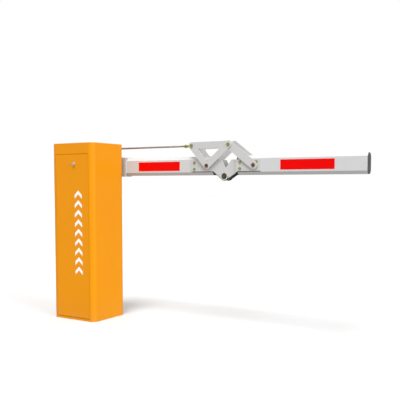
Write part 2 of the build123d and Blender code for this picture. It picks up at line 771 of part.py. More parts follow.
def make_elbow_pin():
    pin = bar_y(elbow, elbow_pin_r, arm_y - bracket_outer, arm_y + bracket_outer)
    for s in (-1, 1):
        pin += layer_bar(elbow, elbow_head_r, bracket_outer, bracket_outer + low_head_t, s)
    return pin


def make_crank_pivot():
    """Cross pin through the arm that both crank plates turn on."""
    pin = bar_y(crank_pivot, pin_r, arm_y - crank_outer - layer_gap, arm_y + crank_outer + layer_gap)
    for s in (-1, 1):
        pin += layer_bar(crank_pivot, 11, bracket_outer, crank_inner - layer_gap, s)
        pin += layer_bar(crank_pivot, 10, crank_outer + layer_gap, crank_outer + layer_gap + 4, s)
    return pin


# ---- folding linkage ----
def crank_outline():
    """Triangle through the three pins with rounded corners and a three-sided window."""
    corners = (crank_pivot, tie_pin, crank_drive_pin)
    plate = outline(*corners)
    for i in range(3):
        plate += slot_between(corners[i], corners[(i + 1) % 3], crank_r)
    window = offset(outline(*corners), -crank_window_margin, kind=Kind.INTERSECTION)
    return plate - fillet(window.vertices(), 5)


def make_crank_plate(side):
    plate = layer(crank_outline(), crank_inner, crank_outer, side)
    plate -= bar_y(crank_pivot, pin_r + running_fit, arm_y - 60, arm_y + 60)
    plate -= bar_y(tie_pin, pin_r, arm_y - 60, arm_y + 60)
    return plate - bar_y(crank_drive_pin, pin_r, arm_y - 60, arm_y + 60)


def make_tie_pin():
    """Pin across both crank plates, with spacer sleeves on each side of the rod end."""
    pin = bar_y(tie_pin, pin_r, arm_y - crank_outer, arm_y + crank_outer)
    for s in (-1, 1):
        pin += layer_bar(tie_pin, 9, rod_end_t / 2 + layer_gap, crank_inner, s)
        pin += layer_bar(tie_pin, 9, crank_outer, crank_outer + 4, s)
    return pin


def make_drive_pins():
    pins = []
    for s in (-1, 1):
        stud = layer_bar(crank_drive_pin, pin_r, link_inner, crank_outer, s)
        pins.append(stud + layer_bar(crank_drive_pin, 9, crank_outer, crank_outer + 4, s))
    return pins


def make_link_plate(side):
    plate = layer(slot_between(crank_drive_pin, link_pin, link_r), link_inner, link_inner + link_t, side)
    plate -= bar_y(crank_drive_pin, pin_r + running_fit, arm_y - 60, arm_y + 60)
    return plate - bar_y(link_pin, pin_r, arm_y - 60, arm_y + 60)


def make_link_studs():
    """Studs fixed in the link's outer ends; they stop just short of the outer arm's bracket."""
    studs = []
    for s in (-1, 1):
        stud = layer_bar(link_pin, pin_r, bracket_outer + open_pivot_gap, link_inner + link_t, s)
        studs.append(stud + layer_bar(link_pin, 10, link_inner + link_t, link_inner + link_t + 4, s))
    return studs


def make_tie_rod():
    x0 = tie_anchor[0] + rod_end_shank
    x1 = tie_pin[0] - rod_end_shank
    return bar_x(arm_y, tie_pin[1], rod_r, x0, x1)


def make_rod_end(at, direction):
    y0 = arm_y - rod_end_t / 2
    y1 = arm_y + rod_end_t / 2
    end = bar_y(at, rod_end_r, y0, y1)
    xs = sorted((at[0], at[0] + direction * rod_end_shank))
    end += bar_x(arm_y, at[1], 7, *xs)
    return end


def make_rod_ends():
    """Rod ends; the anchor's end turns on its stud and the crank's end has the open pivot's play."""
    y0 = arm_y - 20
    y1 = arm_y + 20
    anchor_end = make_rod_end(tie_anchor, 1) - bar_y(tie_anchor, pin_r + running_fit, y0, y1)
    crank_end = make_rod_end(tie_pin, -1) - bar_y(tie_pin, pin_r + open_pivot_gap, y0, y1)
    return [anchor_end, crank_end]


def make_lock_nuts():
    nuts = []
    for at, direction in ((tie_anchor, 1), (tie_pin, -1)):
        x0, x1 = sorted((at[0] + direction * rod_end_shank, at[0] + direction * (rod_end_shank + 6)))
        nut = sheet_yz(Pos(arm_y, at[1]) * RegularPolygon(8.5, 6, major_radius=False), x0, x1)
        nuts.append(nut - bar_x(arm_y, at[1], rod_r, x0 - 1, x1 + 1))
    return nuts


def make_tie_anchor():
    """Plate bolted to the cabinet's wall with a stand-off boss."""
    x, z = tie_anchor
    z_top = z + boss_r
    plate = block(x - 30, x + 30, rear_y, rear_y + 6, z_top - 75, z_top)
    boss_end = arm_y - rod_end_t / 2 - layer_gap
    anchor = plate + bar_y(tie_anchor, boss_r, rear_y + 6, boss_end)
    anchor += block(x - 3, x + 3, rear_y + 6, boss_end - 8, z_top - 70, z)
    for px in (x - 20, x + 20):
        anchor += bar_y((px, z_top - 62), 6, rear_y + 6, rear_y + 11)
    return anchor - bar_y(tie_anchor, pin_r, boss_end - 25, boss_end + 1)


def make_anchor_stud():
    boss_end = arm_y - rod_end_t / 2 - layer_gap
    outer = arm_y + rod_end_t / 2 + layer_gap
    return bar_y(tie_anchor, pin_r, boss_end - 25, outer) + hex_y(tie_anchor, 17, outer, outer + 7)


save("base_plate", make_base_plate())
save("cabinet_shell", make_shell())
save("top_lid", make_lid())
save("lid_screws", *make_lid_screws())
save("frame_posts", *make_posts())
save("shaft_deck", make_shaft_deck())
save("gearbox_deck", make_gearbox_deck())
save("cable_grommet", make_grommet())
save("hinge_pins", *make_hinge_pins())
save("bearings", *[make_bearing(y) for y in bearing_y])
save("bearing_bolts", *make_bearing_bolts())
save("shaft_seal", make_seal())
save("gearbox", make_gearbox())
save("motor", make_motor())
save("motor_cowl", make_cowl())
save("stop_brackets", *make_stop_brackets())
save("stop_pads", *make_stop_pads())
save("limit_switches", *make_limit_switches())
save("spring_anchor", make_spring_anchor())
save("balance_springs", make_spring(-spring_y), make_spring(spring_y))
save("back_plate", make_back_plate())
save("control_box", make_control_box(), make_control_cover())
save("terminal_strip", make_terminals())
save("tie_anchor", make_tie_anchor())
save("anchor_stud", make_anchor_stud())

save("door", make_door())
save("door_decal", *make_decal())
save("lock_barrel", make_lock_barrel())
save("lock_plug", make_lock_plug())
save("lock_cam", make_lock_cam())

save("output_crank", make_output_crank())
save("connecting_rod", make_connecting_rod())

save("main_shaft", make_shaft())
save("shaft_lever", make_lever())
save("lever_pins", *make_lever_pins())
save("limit_cam", make_limit_cam())
save("shaft_flange", make_flange())
save("arm_holder", make_holder())
save("holder_cover", make_holder_cover())
save("holder_bolts", *through_bolts(holder_bolt_points(), arm_near_y - holder_t, arm_far_y + holder_t, 5))
arm_1_holes = [(at, bolt_r) for at in holder_bolt_points() + bracket_1_bolts()] + [(crank_pivot, pin_r)]
save("arm_1_tube", arm_tube(arm_back_x, arm_1_end_x, arm_1_holes))
save("arm_1_plug", make_plug(arm_1_end_x, 1))
save("red_strips_1", *make_strip(strip_1_x))
save("elbow_bracket_1", make_bracket_1())
bracket_y = (arm_y - bracket_outer, arm_y + bracket_outer)
save("bracket_bolts_1", *through_bolts(bracket_1_bolts(), *bracket_y, low_head_t))
save("elbow_pin", make_elbow_pin())
save("crank_pivot_pin", make_crank_pivot())

arm_2_holes = [(at, bolt_r) for at in bracket_2_bolts()] + [(link_pin, pin_r + open_pivot_gap)]
save("arm_2_tube", arm_tube(arm_2_start_x, arm_tip_x, arm_2_holes))
save("arm_2_plug", make_plug(arm_2_start_x, -1))
save("arm_tip_cap", make_tip_cap())
save("red_strips_2", *make_strip(strip_2_x))
save("elbow_bracket_2", make_bracket_2())
save("bracket_bolts_2", *through_bolts(bracket_2_bolts(), *bracket_y, low_head_t))

save("fold_crank", make_crank_plate(-1), make_crank_plate(1))
save("crank_pins", make_tie_pin(), *make_drive_pins())
save("fold_link", make_link_plate(-1), make_link_plate(1))
save("link_studs", *make_link_studs())
save("tie_rod", make_tie_rod())
save("rod_ends", *make_rod_ends(), *make_lock_nuts())
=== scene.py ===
"""Folding-arm barrier gate: finishes, fine pieces, floor, lights and camera round the model."""
import json
import logging
import math
from collections.abc import Callable
from dataclasses import dataclass
from enum import Enum

import bmesh
import bpy
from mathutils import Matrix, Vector


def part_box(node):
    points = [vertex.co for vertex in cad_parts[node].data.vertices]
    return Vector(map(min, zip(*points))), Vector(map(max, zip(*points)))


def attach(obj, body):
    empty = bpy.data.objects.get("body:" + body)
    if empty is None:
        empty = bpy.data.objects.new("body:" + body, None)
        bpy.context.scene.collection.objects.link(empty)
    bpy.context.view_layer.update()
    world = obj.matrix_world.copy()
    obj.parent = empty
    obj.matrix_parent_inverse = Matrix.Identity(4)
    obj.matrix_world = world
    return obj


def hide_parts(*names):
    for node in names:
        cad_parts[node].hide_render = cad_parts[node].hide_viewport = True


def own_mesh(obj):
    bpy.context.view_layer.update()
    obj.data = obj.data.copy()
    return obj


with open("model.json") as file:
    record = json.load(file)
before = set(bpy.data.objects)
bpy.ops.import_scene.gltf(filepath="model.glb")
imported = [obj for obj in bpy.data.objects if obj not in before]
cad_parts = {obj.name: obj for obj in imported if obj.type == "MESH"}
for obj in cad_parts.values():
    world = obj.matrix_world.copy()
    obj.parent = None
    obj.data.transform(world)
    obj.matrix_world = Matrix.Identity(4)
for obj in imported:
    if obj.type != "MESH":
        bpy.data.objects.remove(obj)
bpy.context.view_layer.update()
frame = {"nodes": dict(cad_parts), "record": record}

LOG = logging.getLogger("barrier_gate")
MM = 0.001
WELD_REACH = 0.000001
FLATS_SHARE = 0.86
Point = tuple[float, float, float]
Colour = tuple[float, float, float, float]
Corners = tuple[Vector, Vector]
Piece = bpy.types.Object
Socket = bpy.types.NodeSocket


def srgb(red: int, green: int, blue: int) -> Colour:
    """A colour given as 0 to 255 steps, as linear light.

    Args:
        red: Red step.
        green: Green step.
        blue: Blue step.

    Returns:
        The linear colour with full opacity.
    """
    def linear(step: int) -> float:
        """One channel as linear light."""
        value = step / 255
        return value / 12.92 if value <= 0.04045 else ((value + 0.055) / 1.055) ** 2.4

    return (linear(red), linear(green), linear(blue), 1.0)


class Axis(Enum):
    """A row axis that a round or hexagonal piece lies along."""

    X = 0
    Y = 1
    Z = 2

    def turn(self) -> Point:
        """Euler angles that lay a Z-long primitive along the axis."""
        quarter = math.pi / 2
        return {Axis.X: (0.0, quarter, 0.0), Axis.Y: (-quarter, 0.0, 0.0), Axis.Z: (0.0,) * 3}[self]

    def step(self, length: float) -> Vector:
        """A move of some length along the axis."""
        return Vector([length if i == self.value else 0.0 for i in range(3)])


class Head(Enum):
    """The kinds of bolt and pin head on the gate, with the sides of their outlines."""

    HEXAGON = 6
    SOCKET = 36
    TURNED = 40


# ---- Shared effects, as shader node groups ----
def add_node(tree: bpy.types.NodeTree, kind: str, **inputs: object) -> bpy.types.Node:
    """Adds a node to a tree and fills or links its inputs.

    Args:
        tree: The tree that gets the node.
        kind: The node's type without its ShaderNode prefix.
        inputs: Names of properties or inputs, with underscores for spaces or as i0, i1 by their
            number, to values or sockets.

    Returns:
        The new node.
    """
    node = tree.nodes.new(f"ShaderNode{kind}")
    for name, value in inputs.items():
        linked = isinstance(value, Socket)
        if hasattr(node, name) and not linked:
            setattr(node, name, value)
            continue
        numbered = name[0] == "i" and name[1:].isdigit()
        socket = node.inputs[int(name[1:]) if numbered else name.replace("_", " ")]
        if linked:
            tree.links.new(value, socket)
        else:
            socket.default_value = value
    return node


class Effect:
    """A shader node group that several finishes place with their own values."""

    KINDS = {1: "Float", 3: "Vector", 4: "Color"}

    def __init__(self, name: str, **inputs: float | Point | Colour) -> None:
        """Starts a group with its inputs.

        Args:
            name: The group's name.
            inputs: Input names, with underscores for spaces, to their starting values.
        """
        self.tree = bpy.data.node_groups.new(name, "ShaderNodeTree")
        for title, value in inputs.items():
            kind = self.KINDS[len(value) if isinstance(value, tuple) else 1]
            made = self.tree.interface.new_socket(
                name=title.replace("_", " "), in_out="INPUT", socket_type=f"NodeSocket{kind}")
            made.default_value = value
        self.entry = self.tree.nodes.new("NodeGroupInput").outputs
        self.place = self.add("TexCoord").outputs["Object"]

    def add(self, kind: str, **inputs: object) -> bpy.types.Node:
        """Adds a node to the group, as add_node does."""
        return add_node(self.tree, kind, **inputs)

    def math(self, operation: str, first: Socket, second: Socket | float) -> Socket:
        """The result of one sum."""
        return self.add("Math", operation=operation, i0=first, i1=second).outputs[0]

    def mix(self, amount: Socket, first: Socket, second: Socket) -> Socket:
        """A colour between two others."""
        return self.add("Mix", data_type="RGBA", i0=amount, i6=first, i7=second).outputs[2]

    def widen(self, value: Socket, low: Socket | float, high: float) -> Socket:
        """A value stretched so that low to high becomes 0 to 1."""
        return self.add("MapRange", Value=value, From_Min=low, From_Max=high).outputs["Result"]

    def noise(self, scale: Socket | float, detail: float, rough: float,
              place: Socket | None = None) -> Socket:
        """Clouds of noise over the piece.

        Args:
            scale: How fine it is.
            detail: How many layers it has.
            rough: How strong the finer layers are.
            place: Where it is read, or None for the piece's own coordinates.

        Returns:
            The noise, from 0 to 1.
        """
        made = self.add("TexNoise", Vector=place or self.place, Scale=scale, Detail=detail,
                        Roughness=rough)
        return made.outputs["Fac"]

    def swing(self, value: Socket) -> Socket:
        """The group's Roughness, moved by a value times its Roughness Swing."""
        moved = self.math("MULTIPLY", value, self.entry["Roughness Swing"])
        return self.math("ADD", moved, self.entry["Roughness"])

    def close(self, **outs: Socket) -> bpy.types.NodeTree:
        """Makes the group's outputs.

        Args:
            outs: Output names to the sockets that feed them.

        Returns:
            The finished group.
        """
        leave = self.tree.nodes.new("NodeGroupOutput").inputs
        for name, out in outs.items():
            kind = "Color" if name == "Color" else "Float"
            self.tree.interface.new_socket(name=name, in_out="OUTPUT",
                                           socket_type=f"NodeSocket{kind}")
            self.tree.links.new(out, leave[name])
        return self.tree


MID_GREY: Colour = (0.5, 0.5, 0.5, 1.0)
DUST_BROWN: Colour = (0.3, 0.27, 0.22, 1.0)


def mottle_group() -> bpy.types.NodeTree:
    """Broad uneven tint with a fine grain, for paint, plating, rubber and castings.

    Returns:
        The group, which puts out Color, Roughness and Height.
    """
    effect = Effect("mottle_and_grain", Base=MID_GREY, Tint=MID_GREY, Patch_Scale=9.0,
                    Patch_Amount=0.5, Grain_Scale=600.0, Roughness=0.4, Roughness_Swing=0.08)
    entry = effect.entry
    patches = effect.widen(effect.noise(entry["Patch Scale"], 5.0, 0.62), 0.36, 0.66)
    amount = effect.math("MULTIPLY", patches, entry["Patch Amount"])
    colour = effect.mix(amount, entry["Base"], entry["Tint"])
    grain = effect.noise(entry["Grain Scale"], 3.0, 0.55)
    uneven = effect.math("ADD", effect.math("SUBTRACT", grain, 0.5), amount)
    return effect.close(Color=colour, Roughness=effect.swing(uneven), Height=grain)


def grime_group() -> bpy.types.NodeTree:
    """Dust that settles near the ground.

    Returns:
        The group, which takes a Color and puts out Color.
    """
    effect = Effect("settled_grime", Color=MID_GREY, Dust=DUST_BROWN, Ground_Reach=0.12, Amount=0.3)
    entry = effect.entry
    height = effect.add("SeparateXYZ", Vector=effect.place).outputs["Z"]
    low = effect.widen(height, entry["Ground Reach"], 0.0)
    speckle = effect.widen(effect.noise(26.0, 6.0, 0.7), 0.42, 0.68)
    mask = effect.math("MULTIPLY", effect.math("MULTIPLY", low, speckle), entry["Amount"])
    return effect.close(Color=effect.mix(mask, entry["Color"], entry["Dust"]))


def drawn_group() -> bpy.types.NodeTree:
    """Long fine scratches with a little tarnish, for bare and coated metal.

    Returns:
        The group, which puts out Color, Roughness and Height.
    """
    effect = Effect("drawn_metal", Base=MID_GREY, Tarnish=MID_GREY, Stretch=(8.0, 900.0, 900.0),
                    Tarnish_Amount=0.3, Roughness=0.35, Roughness_Swing=0.2)
    entry = effect.entry
    along = effect.add("VectorMath", operation="MULTIPLY", i0=effect.place, i1=entry["Stretch"])
    lines = effect.noise(1.0, 2.0, 0.5, along.outputs[0])
    patches = effect.widen(effect.noise(34.0, 5.0, 0.6), 0.4, 0.66)
    amount = effect.math("MULTIPLY", patches, entry["Tarnish Amount"])
    colour = effect.mix(amount, entry["Base"], entry["Tarnish"])
    rough = effect.swing(effect.math("SUBTRACT", lines, 0.5))
    return effect.close(Color=colour, Roughness=rough, Height=lines)


def cell_group() -> bpy.types.NodeTree:
    """Small sealed cells of retroreflective film.

    Returns:
        The group, which puts out Color, Roughness and Height.
    """
    effect = Effect("film_cells", Cell=MID_GREY, Seam=MID_GREY, Cell_Scale=260.0)
    entry = effect.entry
    cells = effect.add("TexVoronoi", feature="DISTANCE_TO_EDGE", Vector=effect.place,
                       Scale=entry["Cell Scale"], Randomness=0.15)
    wall = effect.widen(cells.outputs["Distance"], 0.03, 0.1)
    colour = effect.mix(wall, entry["Seam"], entry["Cell"])
    rough = effect.add("MapRange", Value=wall, To_Min=0.5, To_Max=0.3).outputs["Result"]
    return effect.close(Color=colour, Roughness=rough, Height=wall)


class Effects(Enum):
    """The shared effects, built once and kept by name."""

    MOTTLE = "mottle_and_grain"
    GRIME = "settled_grime"
    DRAWN = "drawn_metal"
    CELLS = "film_cells"

    def tree(self) -> bpy.types.NodeTree:
        """The effect's node group, made at its first use."""
        makers = {Effects.MOTTLE: mottle_group, Effects.GRIME: grime_group,
                  Effects.DRAWN: drawn_group, Effects.CELLS: cell_group}
        return bpy.data.node_groups.get(self.value) or makers[self]()


# ---- Finishes ----
@dataclass(frozen=True)
class Finish:
    """One surface finish: the numbers that a material is built from."""

    name: str
    base: Colour
    tint: Colour
    roughness: float = 0.4
    swing: float = 0.1
    metallic: float = 0.0
    specular: float = 0.5
    coat: float = 0.0
    coat_roughness: float = 0.2
    patch_scale: float = 9.0
    patch_amount: float = 0.4
    grain_scale: float = 700.0
    bump: float = 0.05
    bump_depth: float = 0.0004
    grime: float = 0.0
    stretch: Point | None = None
    cells: float = 0.0

    def material(self) -> bpy.types.Material:
        """The finish as a material, built at its first use.

        Returns:
            The material.
        """
        title = f"{self.name}_finish"
        made = bpy.data.materials.get(title)
        if made is not None:
            return made
        made = bpy.data.materials.new(title)
        made.use_nodes = True
        tree = made.node_tree
        shader = tree.nodes["Principled BSDF"].inputs
        for name, value in (("Metallic", self.metallic), ("Specular IOR Level", self.specular),
                            ("Coat Weight", self.coat), ("Coat Roughness", self.coat_roughness)):
            shader[name].default_value = value
        effect = self._place_effect(tree)
        colour = effect["Color"]
        if self.grime > 0:
            dust = tree.nodes.new("ShaderNodeGroup")
            dust.node_tree = Effects.GRIME.tree()
            dust.inputs["Amount"].default_value = self.grime
            tree.links.new(colour, dust.inputs["Color"])
            colour = dust.outputs["Color"]
        bump = add_node(tree, "Bump", Strength=self.bump, Distance=self.bump_depth,
                        Height=effect["Height"])
        tree.links.new(colour, shader["Base Color"])
        tree.links.new(effect["Roughness"], shader["Roughness"])
        tree.links.new(bump.outputs["Normal"], shader["Normal"])
        made.diffuse_color = self.base
        return made

    def _place_effect(self, tree: bpy.types.NodeTree) -> bpy.types.bpy_prop_collection:
        """Places the finish's main effect with this finish's values.

        Args:
            tree: The material's tree.

        Returns:
            The group node's outputs.
        """
        uneven = {"Roughness": self.roughness, "Roughness Swing": self.swing}
        if self.cells > 0:
            effect = Effects.CELLS
            values = {"Cell": self.base, "Seam": self.tint, "Cell Scale": self.cells}
        elif self.stretch is not None:
            effect = Effects.DRAWN
            values = {"Base": self.base, "Tarnish": self.tint, "Stretch": self.stretch,
                      "Tarnish Amount": self.patch_amount, **uneven}
        else:
            effect = Effects.MOTTLE
            values = {"Base": self.base, "Tint": self.tint, "Patch Scale": self.patch_scale,
                      "Patch Amount": self.patch_amount, "Grain Scale": self.grain_scale, **uneven}
        node = tree.nodes.new("ShaderNodeGroup")
        node.node_tree = effect.tree()
        for name, value in values.items():
            node.inputs[name].default_value = value
        return node.outputs


ORANGE = Finish("orange_powder_coat", srgb(231, 146, 0), srgb(225, 139, 0), swing=0.08,
                specular=0.16, coat=0.04, patch_scale=4.0, grain_scale=420.0, bump=0.12,
                grime=0.15)
PALE_COAT = Finish("pale_grey_coat", srgb(200, 200, 199), srgb(192, 192, 190), roughness=0.42,
                   specular=0.3, patch_scale=22.0, grain_scale=520.0, bump=0.1)
FRAME_COAT = Finish("frame_grey_coat", srgb(128, 132, 136), srgb(112, 116, 120), roughness=0.5,
                    swing=0.12, patch_scale=14.0, grain_scale=380.0, bump=0.15)
ARM_COAT = Finish("arm_aluminium", srgb(206, 206, 206), srgb(198, 198, 197), swing=0.12,
                  specular=0.3, patch_amount=0.3, stretch=(6.0, 700.0, 700.0))
MACHINED = Finish("machined_steel", srgb(150, 150, 152), srgb(112, 108, 104), roughness=0.34,
                  swing=0.3, metallic=1.0, patch_amount=0.35, stretch=(900.0, 60.0, 900.0),
                  bump=0.12)
DRAWN_ROD = Finish("drawn_rod_steel", srgb(176, 166, 160), srgb(132, 112, 100), roughness=0.38,
                   swing=0.25, metallic=0.85, patch_amount=0.5, stretch=(12.0, 900.0, 900.0),
                   bump=0.1)
ZINC = Finish("yellow_zinc_plate", srgb(178, 172, 84), srgb(128, 138, 74), roughness=0.36,
              swing=0.3, metallic=0.8, patch_scale=60.0, patch_amount=0.9, grain_scale=900.0,
              bump=0.1)
BRONZED = Finish("bronzed_pin", srgb(132, 86, 72), srgb(92, 52, 44), swing=0.25, metallic=0.75,
                 patch_scale=90.0, patch_amount=0.9, grain_scale=1100.0, bump=0.12)
BRASS = Finish("brass_pin", srgb(118, 98, 62), srgb(88, 70, 42), roughness=0.36, swing=0.25,
               metallic=0.85, patch_scale=80.0, patch_amount=0.8, grain_scale=1000.0, bump=0.1)
# Dark steel for the elbow pin's washers only: their dark rim paints the contact shadow round the
# pin heads.
DARK_STEEL = Finish("shadow_ring_steel", srgb(58, 52, 48), srgb(40, 36, 34), roughness=0.42,
                    swing=0.2, metallic=0.7, patch_scale=90.0, patch_amount=0.7,
                    grain_scale=1000.0, bump=0.12)
CHROME = Finish("polished_chrome", srgb(225, 226, 228), srgb(205, 206, 210), roughness=0.1,
                swing=0.08, metallic=1.0, patch_scale=50.0, grain_scale=900.0, bump=0.02)
RUBBER = Finish("black_rubber", srgb(30, 30, 31), srgb(46, 45, 44), roughness=0.75, swing=0.15,
                specular=0.3, patch_scale=30.0, grain_scale=1400.0, bump=0.3)
BLACK_PLASTIC = Finish("black_plastic", srgb(62, 62, 64), srgb(78, 78, 79), roughness=0.5,
                       swing=0.15, specular=0.4, patch_scale=24.0, grain_scale=1500.0, bump=0.25)
GREY_PLASTIC = Finish("grey_plastic", srgb(150, 152, 154), srgb(138, 140, 142), roughness=0.45,
                      swing=0.12, patch_scale=20.0, grain_scale=1500.0, bump=0.2)
CASTING = Finish("painted_casting", srgb(66, 84, 98), srgb(52, 66, 78), roughness=0.5, swing=0.2,
                 patch_scale=40.0, patch_amount=0.7, grain_scale=240.0, bump=0.5,
                 bump_depth=0.0008)
RED_FILM = Finish("red_reflective_film", srgb(240, 0, 0), srgb(214, 0, 0), specular=0.08,
                  coat=0.01, coat_roughness=0.15, cells=300.0, bump=0.08, bump_depth=0.0002)
WHITE_FILM = Finish("white_marking_film", srgb(248, 248, 246), srgb(236, 236, 232),
                    roughness=0.35, swing=0.08, coat=0.3, patch_scale=30.0, grain_scale=900.0,
                    bump=0.06)
SPRING_WIRE = Finish("oiled_spring_wire", srgb(62, 64, 68), srgb(44, 44, 46), roughness=0.32,
                     swing=0.25, metallic=0.9, patch_scale=70.0, patch_amount=0.7,
                     grain_scale=1200.0, bump=0.1)
FLOOR_PAPER = Finish("studio_floor_paper", (0.63, 0.63, 0.63, 1), (0.625, 0.625, 0.625, 1),
                     roughness=0.9, specular=0.1, patch_scale=0.6, grain_scale=80.0, bump=0.0)

SLOT_FINISH: dict[str, Finish] = {
    "orange_paint": ORANGE, "grey_paint": PALE_COAT, "arm_aluminium": ARM_COAT,
    "bare_steel": MACHINED, "zinc": ZINC, "copper_pin": BRONZED, "brass_pin": BRASS,
    "chrome": CHROME, "black_rubber": RUBBER, "black_plastic": BLACK_PLASTIC,
    "grey_plastic": GREY_PLASTIC, "cast_grey": CASTING, "red_film": RED_FILM,
    "white_film": WHITE_FILM, "spring_steel": SPRING_WIRE,
}
NODE_SLOT: dict[str, str] = {row["node"]: row["material_slot"]
                             for row in frame["record"]["subparts"]}
NODE_BODY: dict[str, str] = {node: body
                             for body, nodes in frame["record"]["behaviour"]["bodies"].items()
                             for node in nodes}


# ---- Modelling helpers ----
def deselect() -> None:
    """Leaves edit mode and deselects every object."""
    if bpy.context.object is not None and bpy.context.object.mode != "OBJECT":
        bpy.ops.object.mode_set(mode="OBJECT")
    bpy.ops.object.select_all(action="DESELECT")


def activate(piece: Piece) -> None:
    """Makes one piece the only selected and the active object."""
    deselect()
    piece.select_set(True)
    bpy.context.view_layer.objects.active = piece


def edit(piece: Piece) -> None:
    """Opens a piece in edit mode with all of it selected."""
    activate(piece)
    bpy.ops.object.mode_set(mode="EDIT")
    bpy.ops.mesh.select_all(action="SELECT")


def edit_faces(piece: Piece, wanted: Callable[[bmesh.types.BMFace], bool]) -> None:
    """Opens a piece in edit mode with only some faces selected.

    Args:
        piece: The piece.
        wanted: Says of a face whether it is selected.
    """
    edit(piece)
    bpy.ops.mesh.select_all(action="DESELECT")
    mesh = bmesh.from_edit_mesh(piece.data)
    for face in mesh.faces:
        face.select = wanted(face)
    bmesh.update_edit_mesh(piece.data)


def face_outwards() -> None:
    """Turns every face of the piece in edit mode outwards, and leaves edit mode."""
    bpy.ops.mesh.select_all(action="SELECT")
    bpy.ops.mesh.normals_make_consistent(inside=False)
    finish_edit()


def finish_edit() -> None:
    """Goes back to object mode."""
    bpy.ops.object.mode_set(mode="OBJECT")


def settle(piece: Piece, name: str) -> Piece:
    """Names a piece and moves its place, turn and size into its mesh.

    Args:
        piece: The piece.
        name: Its name.

    Returns:
        The same piece.
    """
    activate(piece)
    bpy.ops.object.transform_apply(location=True, rotation=True, scale=True)
    piece.name = name
    piece.data.name = name
    return piece


def modify(piece: Piece, kind: str, **settings: object) -> None:
    """Adds a modifier with its settings and applies it.

    Args:
        piece: The piece.
        kind: The modifier's type.
        settings: The modifier's properties.
    """
    activate(piece)
    modifier = piece.modifiers.new(kind.title(), kind)
    for name, value in settings.items():
        setattr(modifier, name, value)
    bpy.ops.object.modifier_apply(modifier=modifier.name)


def bevel(piece: Piece, width: float, steps: int = 2, limit: float = 60.0,
          **settings: object) -> None:
    """Rounds the edges of a piece.

    Args:
        piece: The piece.
        width: The rounding's width in metres, or 0 for none.
        steps: Segments of the rounding.
        limit: Edges that turn by more than this many degrees are rounded.
        settings: More properties of the modifier.
    """
    if width > 0:
        modify(piece, "BEVEL", width=width, segments=steps, limit_method="ANGLE",
               angle_limit=math.radians(limit), **settings)


def smooth(piece: Piece, limit: float = 30.0) -> None:
    """Shades a piece smooth where its faces meet at less than some degrees."""
    activate(piece)
    bpy.ops.object.shade_smooth_by_angle(angle=math.radians(limit))


def soften(piece: Piece, width: float, steps: int = 2, limit: float = 28.0) -> None:
    """Rounds a piece's edges and shades it smooth, with its flat faces kept flat.

    Args:
        piece: The piece.
        width: The rounding's width in metres, or 0 for none.
        steps: Segments of the rounding.
        limit: Edges that turn by more than this many degrees are rounded.
    """
    bevel(piece, width, steps, limit, use_clamp_overlap=True, miter_outer="MITER_ARC")
    smooth(piece, limit)
    modify(piece, "WEIGHTED_NORMAL", keep_sharp=True, weight=60)


def join(pieces: list[Piece], name: str) -> Piece:
    """Joins pieces into one mesh.

    Args:
        pieces: The pieces, all at the origin.
        name: The joined piece's name.

    Returns:
        The joined piece.
    """
    deselect()
    for piece in pieces:
        piece.select_set(True)
    bpy.context.view_layer.objects.active = pieces[0]
    if len(pieces) > 1:
        bpy.ops.object.join()
    return settle(bpy.context.view_layer.objects.active, name)


def place(piece: Piece, finish: Finish, body: str = "cabinet") -> None:
    """Dresses a finished piece and hangs it on its body.

    Args:
        piece: The piece, at the origin.
        finish: Its finish.
        body: The CAD body that it moves with.
    """
    piece.data.materials.clear()
    piece.data.materials.append(finish.material())
    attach(piece, body)
    LOG.info("piece %s on %s: %d faces", piece.name, body, len(piece.data.polygons))


def stand_in(piece: Piece, node: str, finish: Finish | None = None) -> None:
    """Hides a CAD node and puts a finished piece in its place, on its body.

    Args:
        piece: The piece, at the origin.
        node: The CAD node that it replaces.
        finish: Its finish, or None for its slot's own.
    """
    slot = NODE_SLOT[node]
    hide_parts(node)
    place(piece, finish or SLOT_FINISH[slot], NODE_BODY[node])


def centre(low: Vector, high: Vector) -> Vector:
    """The middle of a box."""
    return (low + high) / 2


def solids_of(node: str) -> list[Corners]:
    """The box of each separate solid of a CAD node.

    Args:
        node: The node's name.

    Returns:
        Lowest and highest corners, sorted by their middles' X, then Y and Z.
    """
    mesh = bmesh.new()
    mesh.from_mesh(frame["nodes"][node].data)
    bmesh.ops.remove_doubles(mesh, verts=mesh.verts, dist=WELD_REACH)
    left = set(mesh.verts)
    boxes = []
    while left:
        group = [left.pop()]
        for vert in group:
            near = {edge.other_vert(vert) for edge in vert.link_edges} & left
            left -= near
            group.extend(near)
        boxes.append(tuple(Vector([pick(vert.co[i] for vert in group) for i in range(3)])
                           for pick in (min, max)))
    mesh.free()
    return sorted(boxes, key=lambda box: tuple(round(c, 4) for c in centre(*box)))


def copy_cad(node: str, name: str) -> Piece:
    """A merged copy of a CAD node's mesh, as a new piece.

    Args:
        node: The node's name.
        name: The new piece's name.

    Returns:
        The copy.
    """
    piece = bpy.data.objects.new(name, frame["nodes"][node].data.copy())
    piece.data.name = name
    bpy.context.scene.collection.objects.link(piece)
    edit(piece)
    bpy.ops.mesh.customdata_custom_splitnormals_clear()
    bpy.ops.mesh.remove_doubles(threshold=2 * WELD_REACH)
    bpy.ops.mesh.dissolve_limited(angle_limit=math.radians(0.4))
    finish_edit()
    return piece


def dress(width: float, *nodes: str, finish: Finish | None = None, steps: int = 2) -> None:
    """Stands rounded, finished copies in for CAD nodes.

    Args:
        width: The rounding of their edges, in metres.
        nodes: The nodes' names.
        finish: Their finish, or None for each slot's own.
        steps: Segments of the rounding.
    """
    for node in nodes:
        piece = copy_cad(node, f"{node}_finished")
        soften(piece, width, steps)
        stand_in(piece, node, finish)


def lay_film(node: str) -> None:
    """Stands a smooth copy in for a thin film, whose edges stay sharp."""
    piece = copy_cad(node, f"{node}_finished")
    smooth(piece)
    stand_in(piece, node)


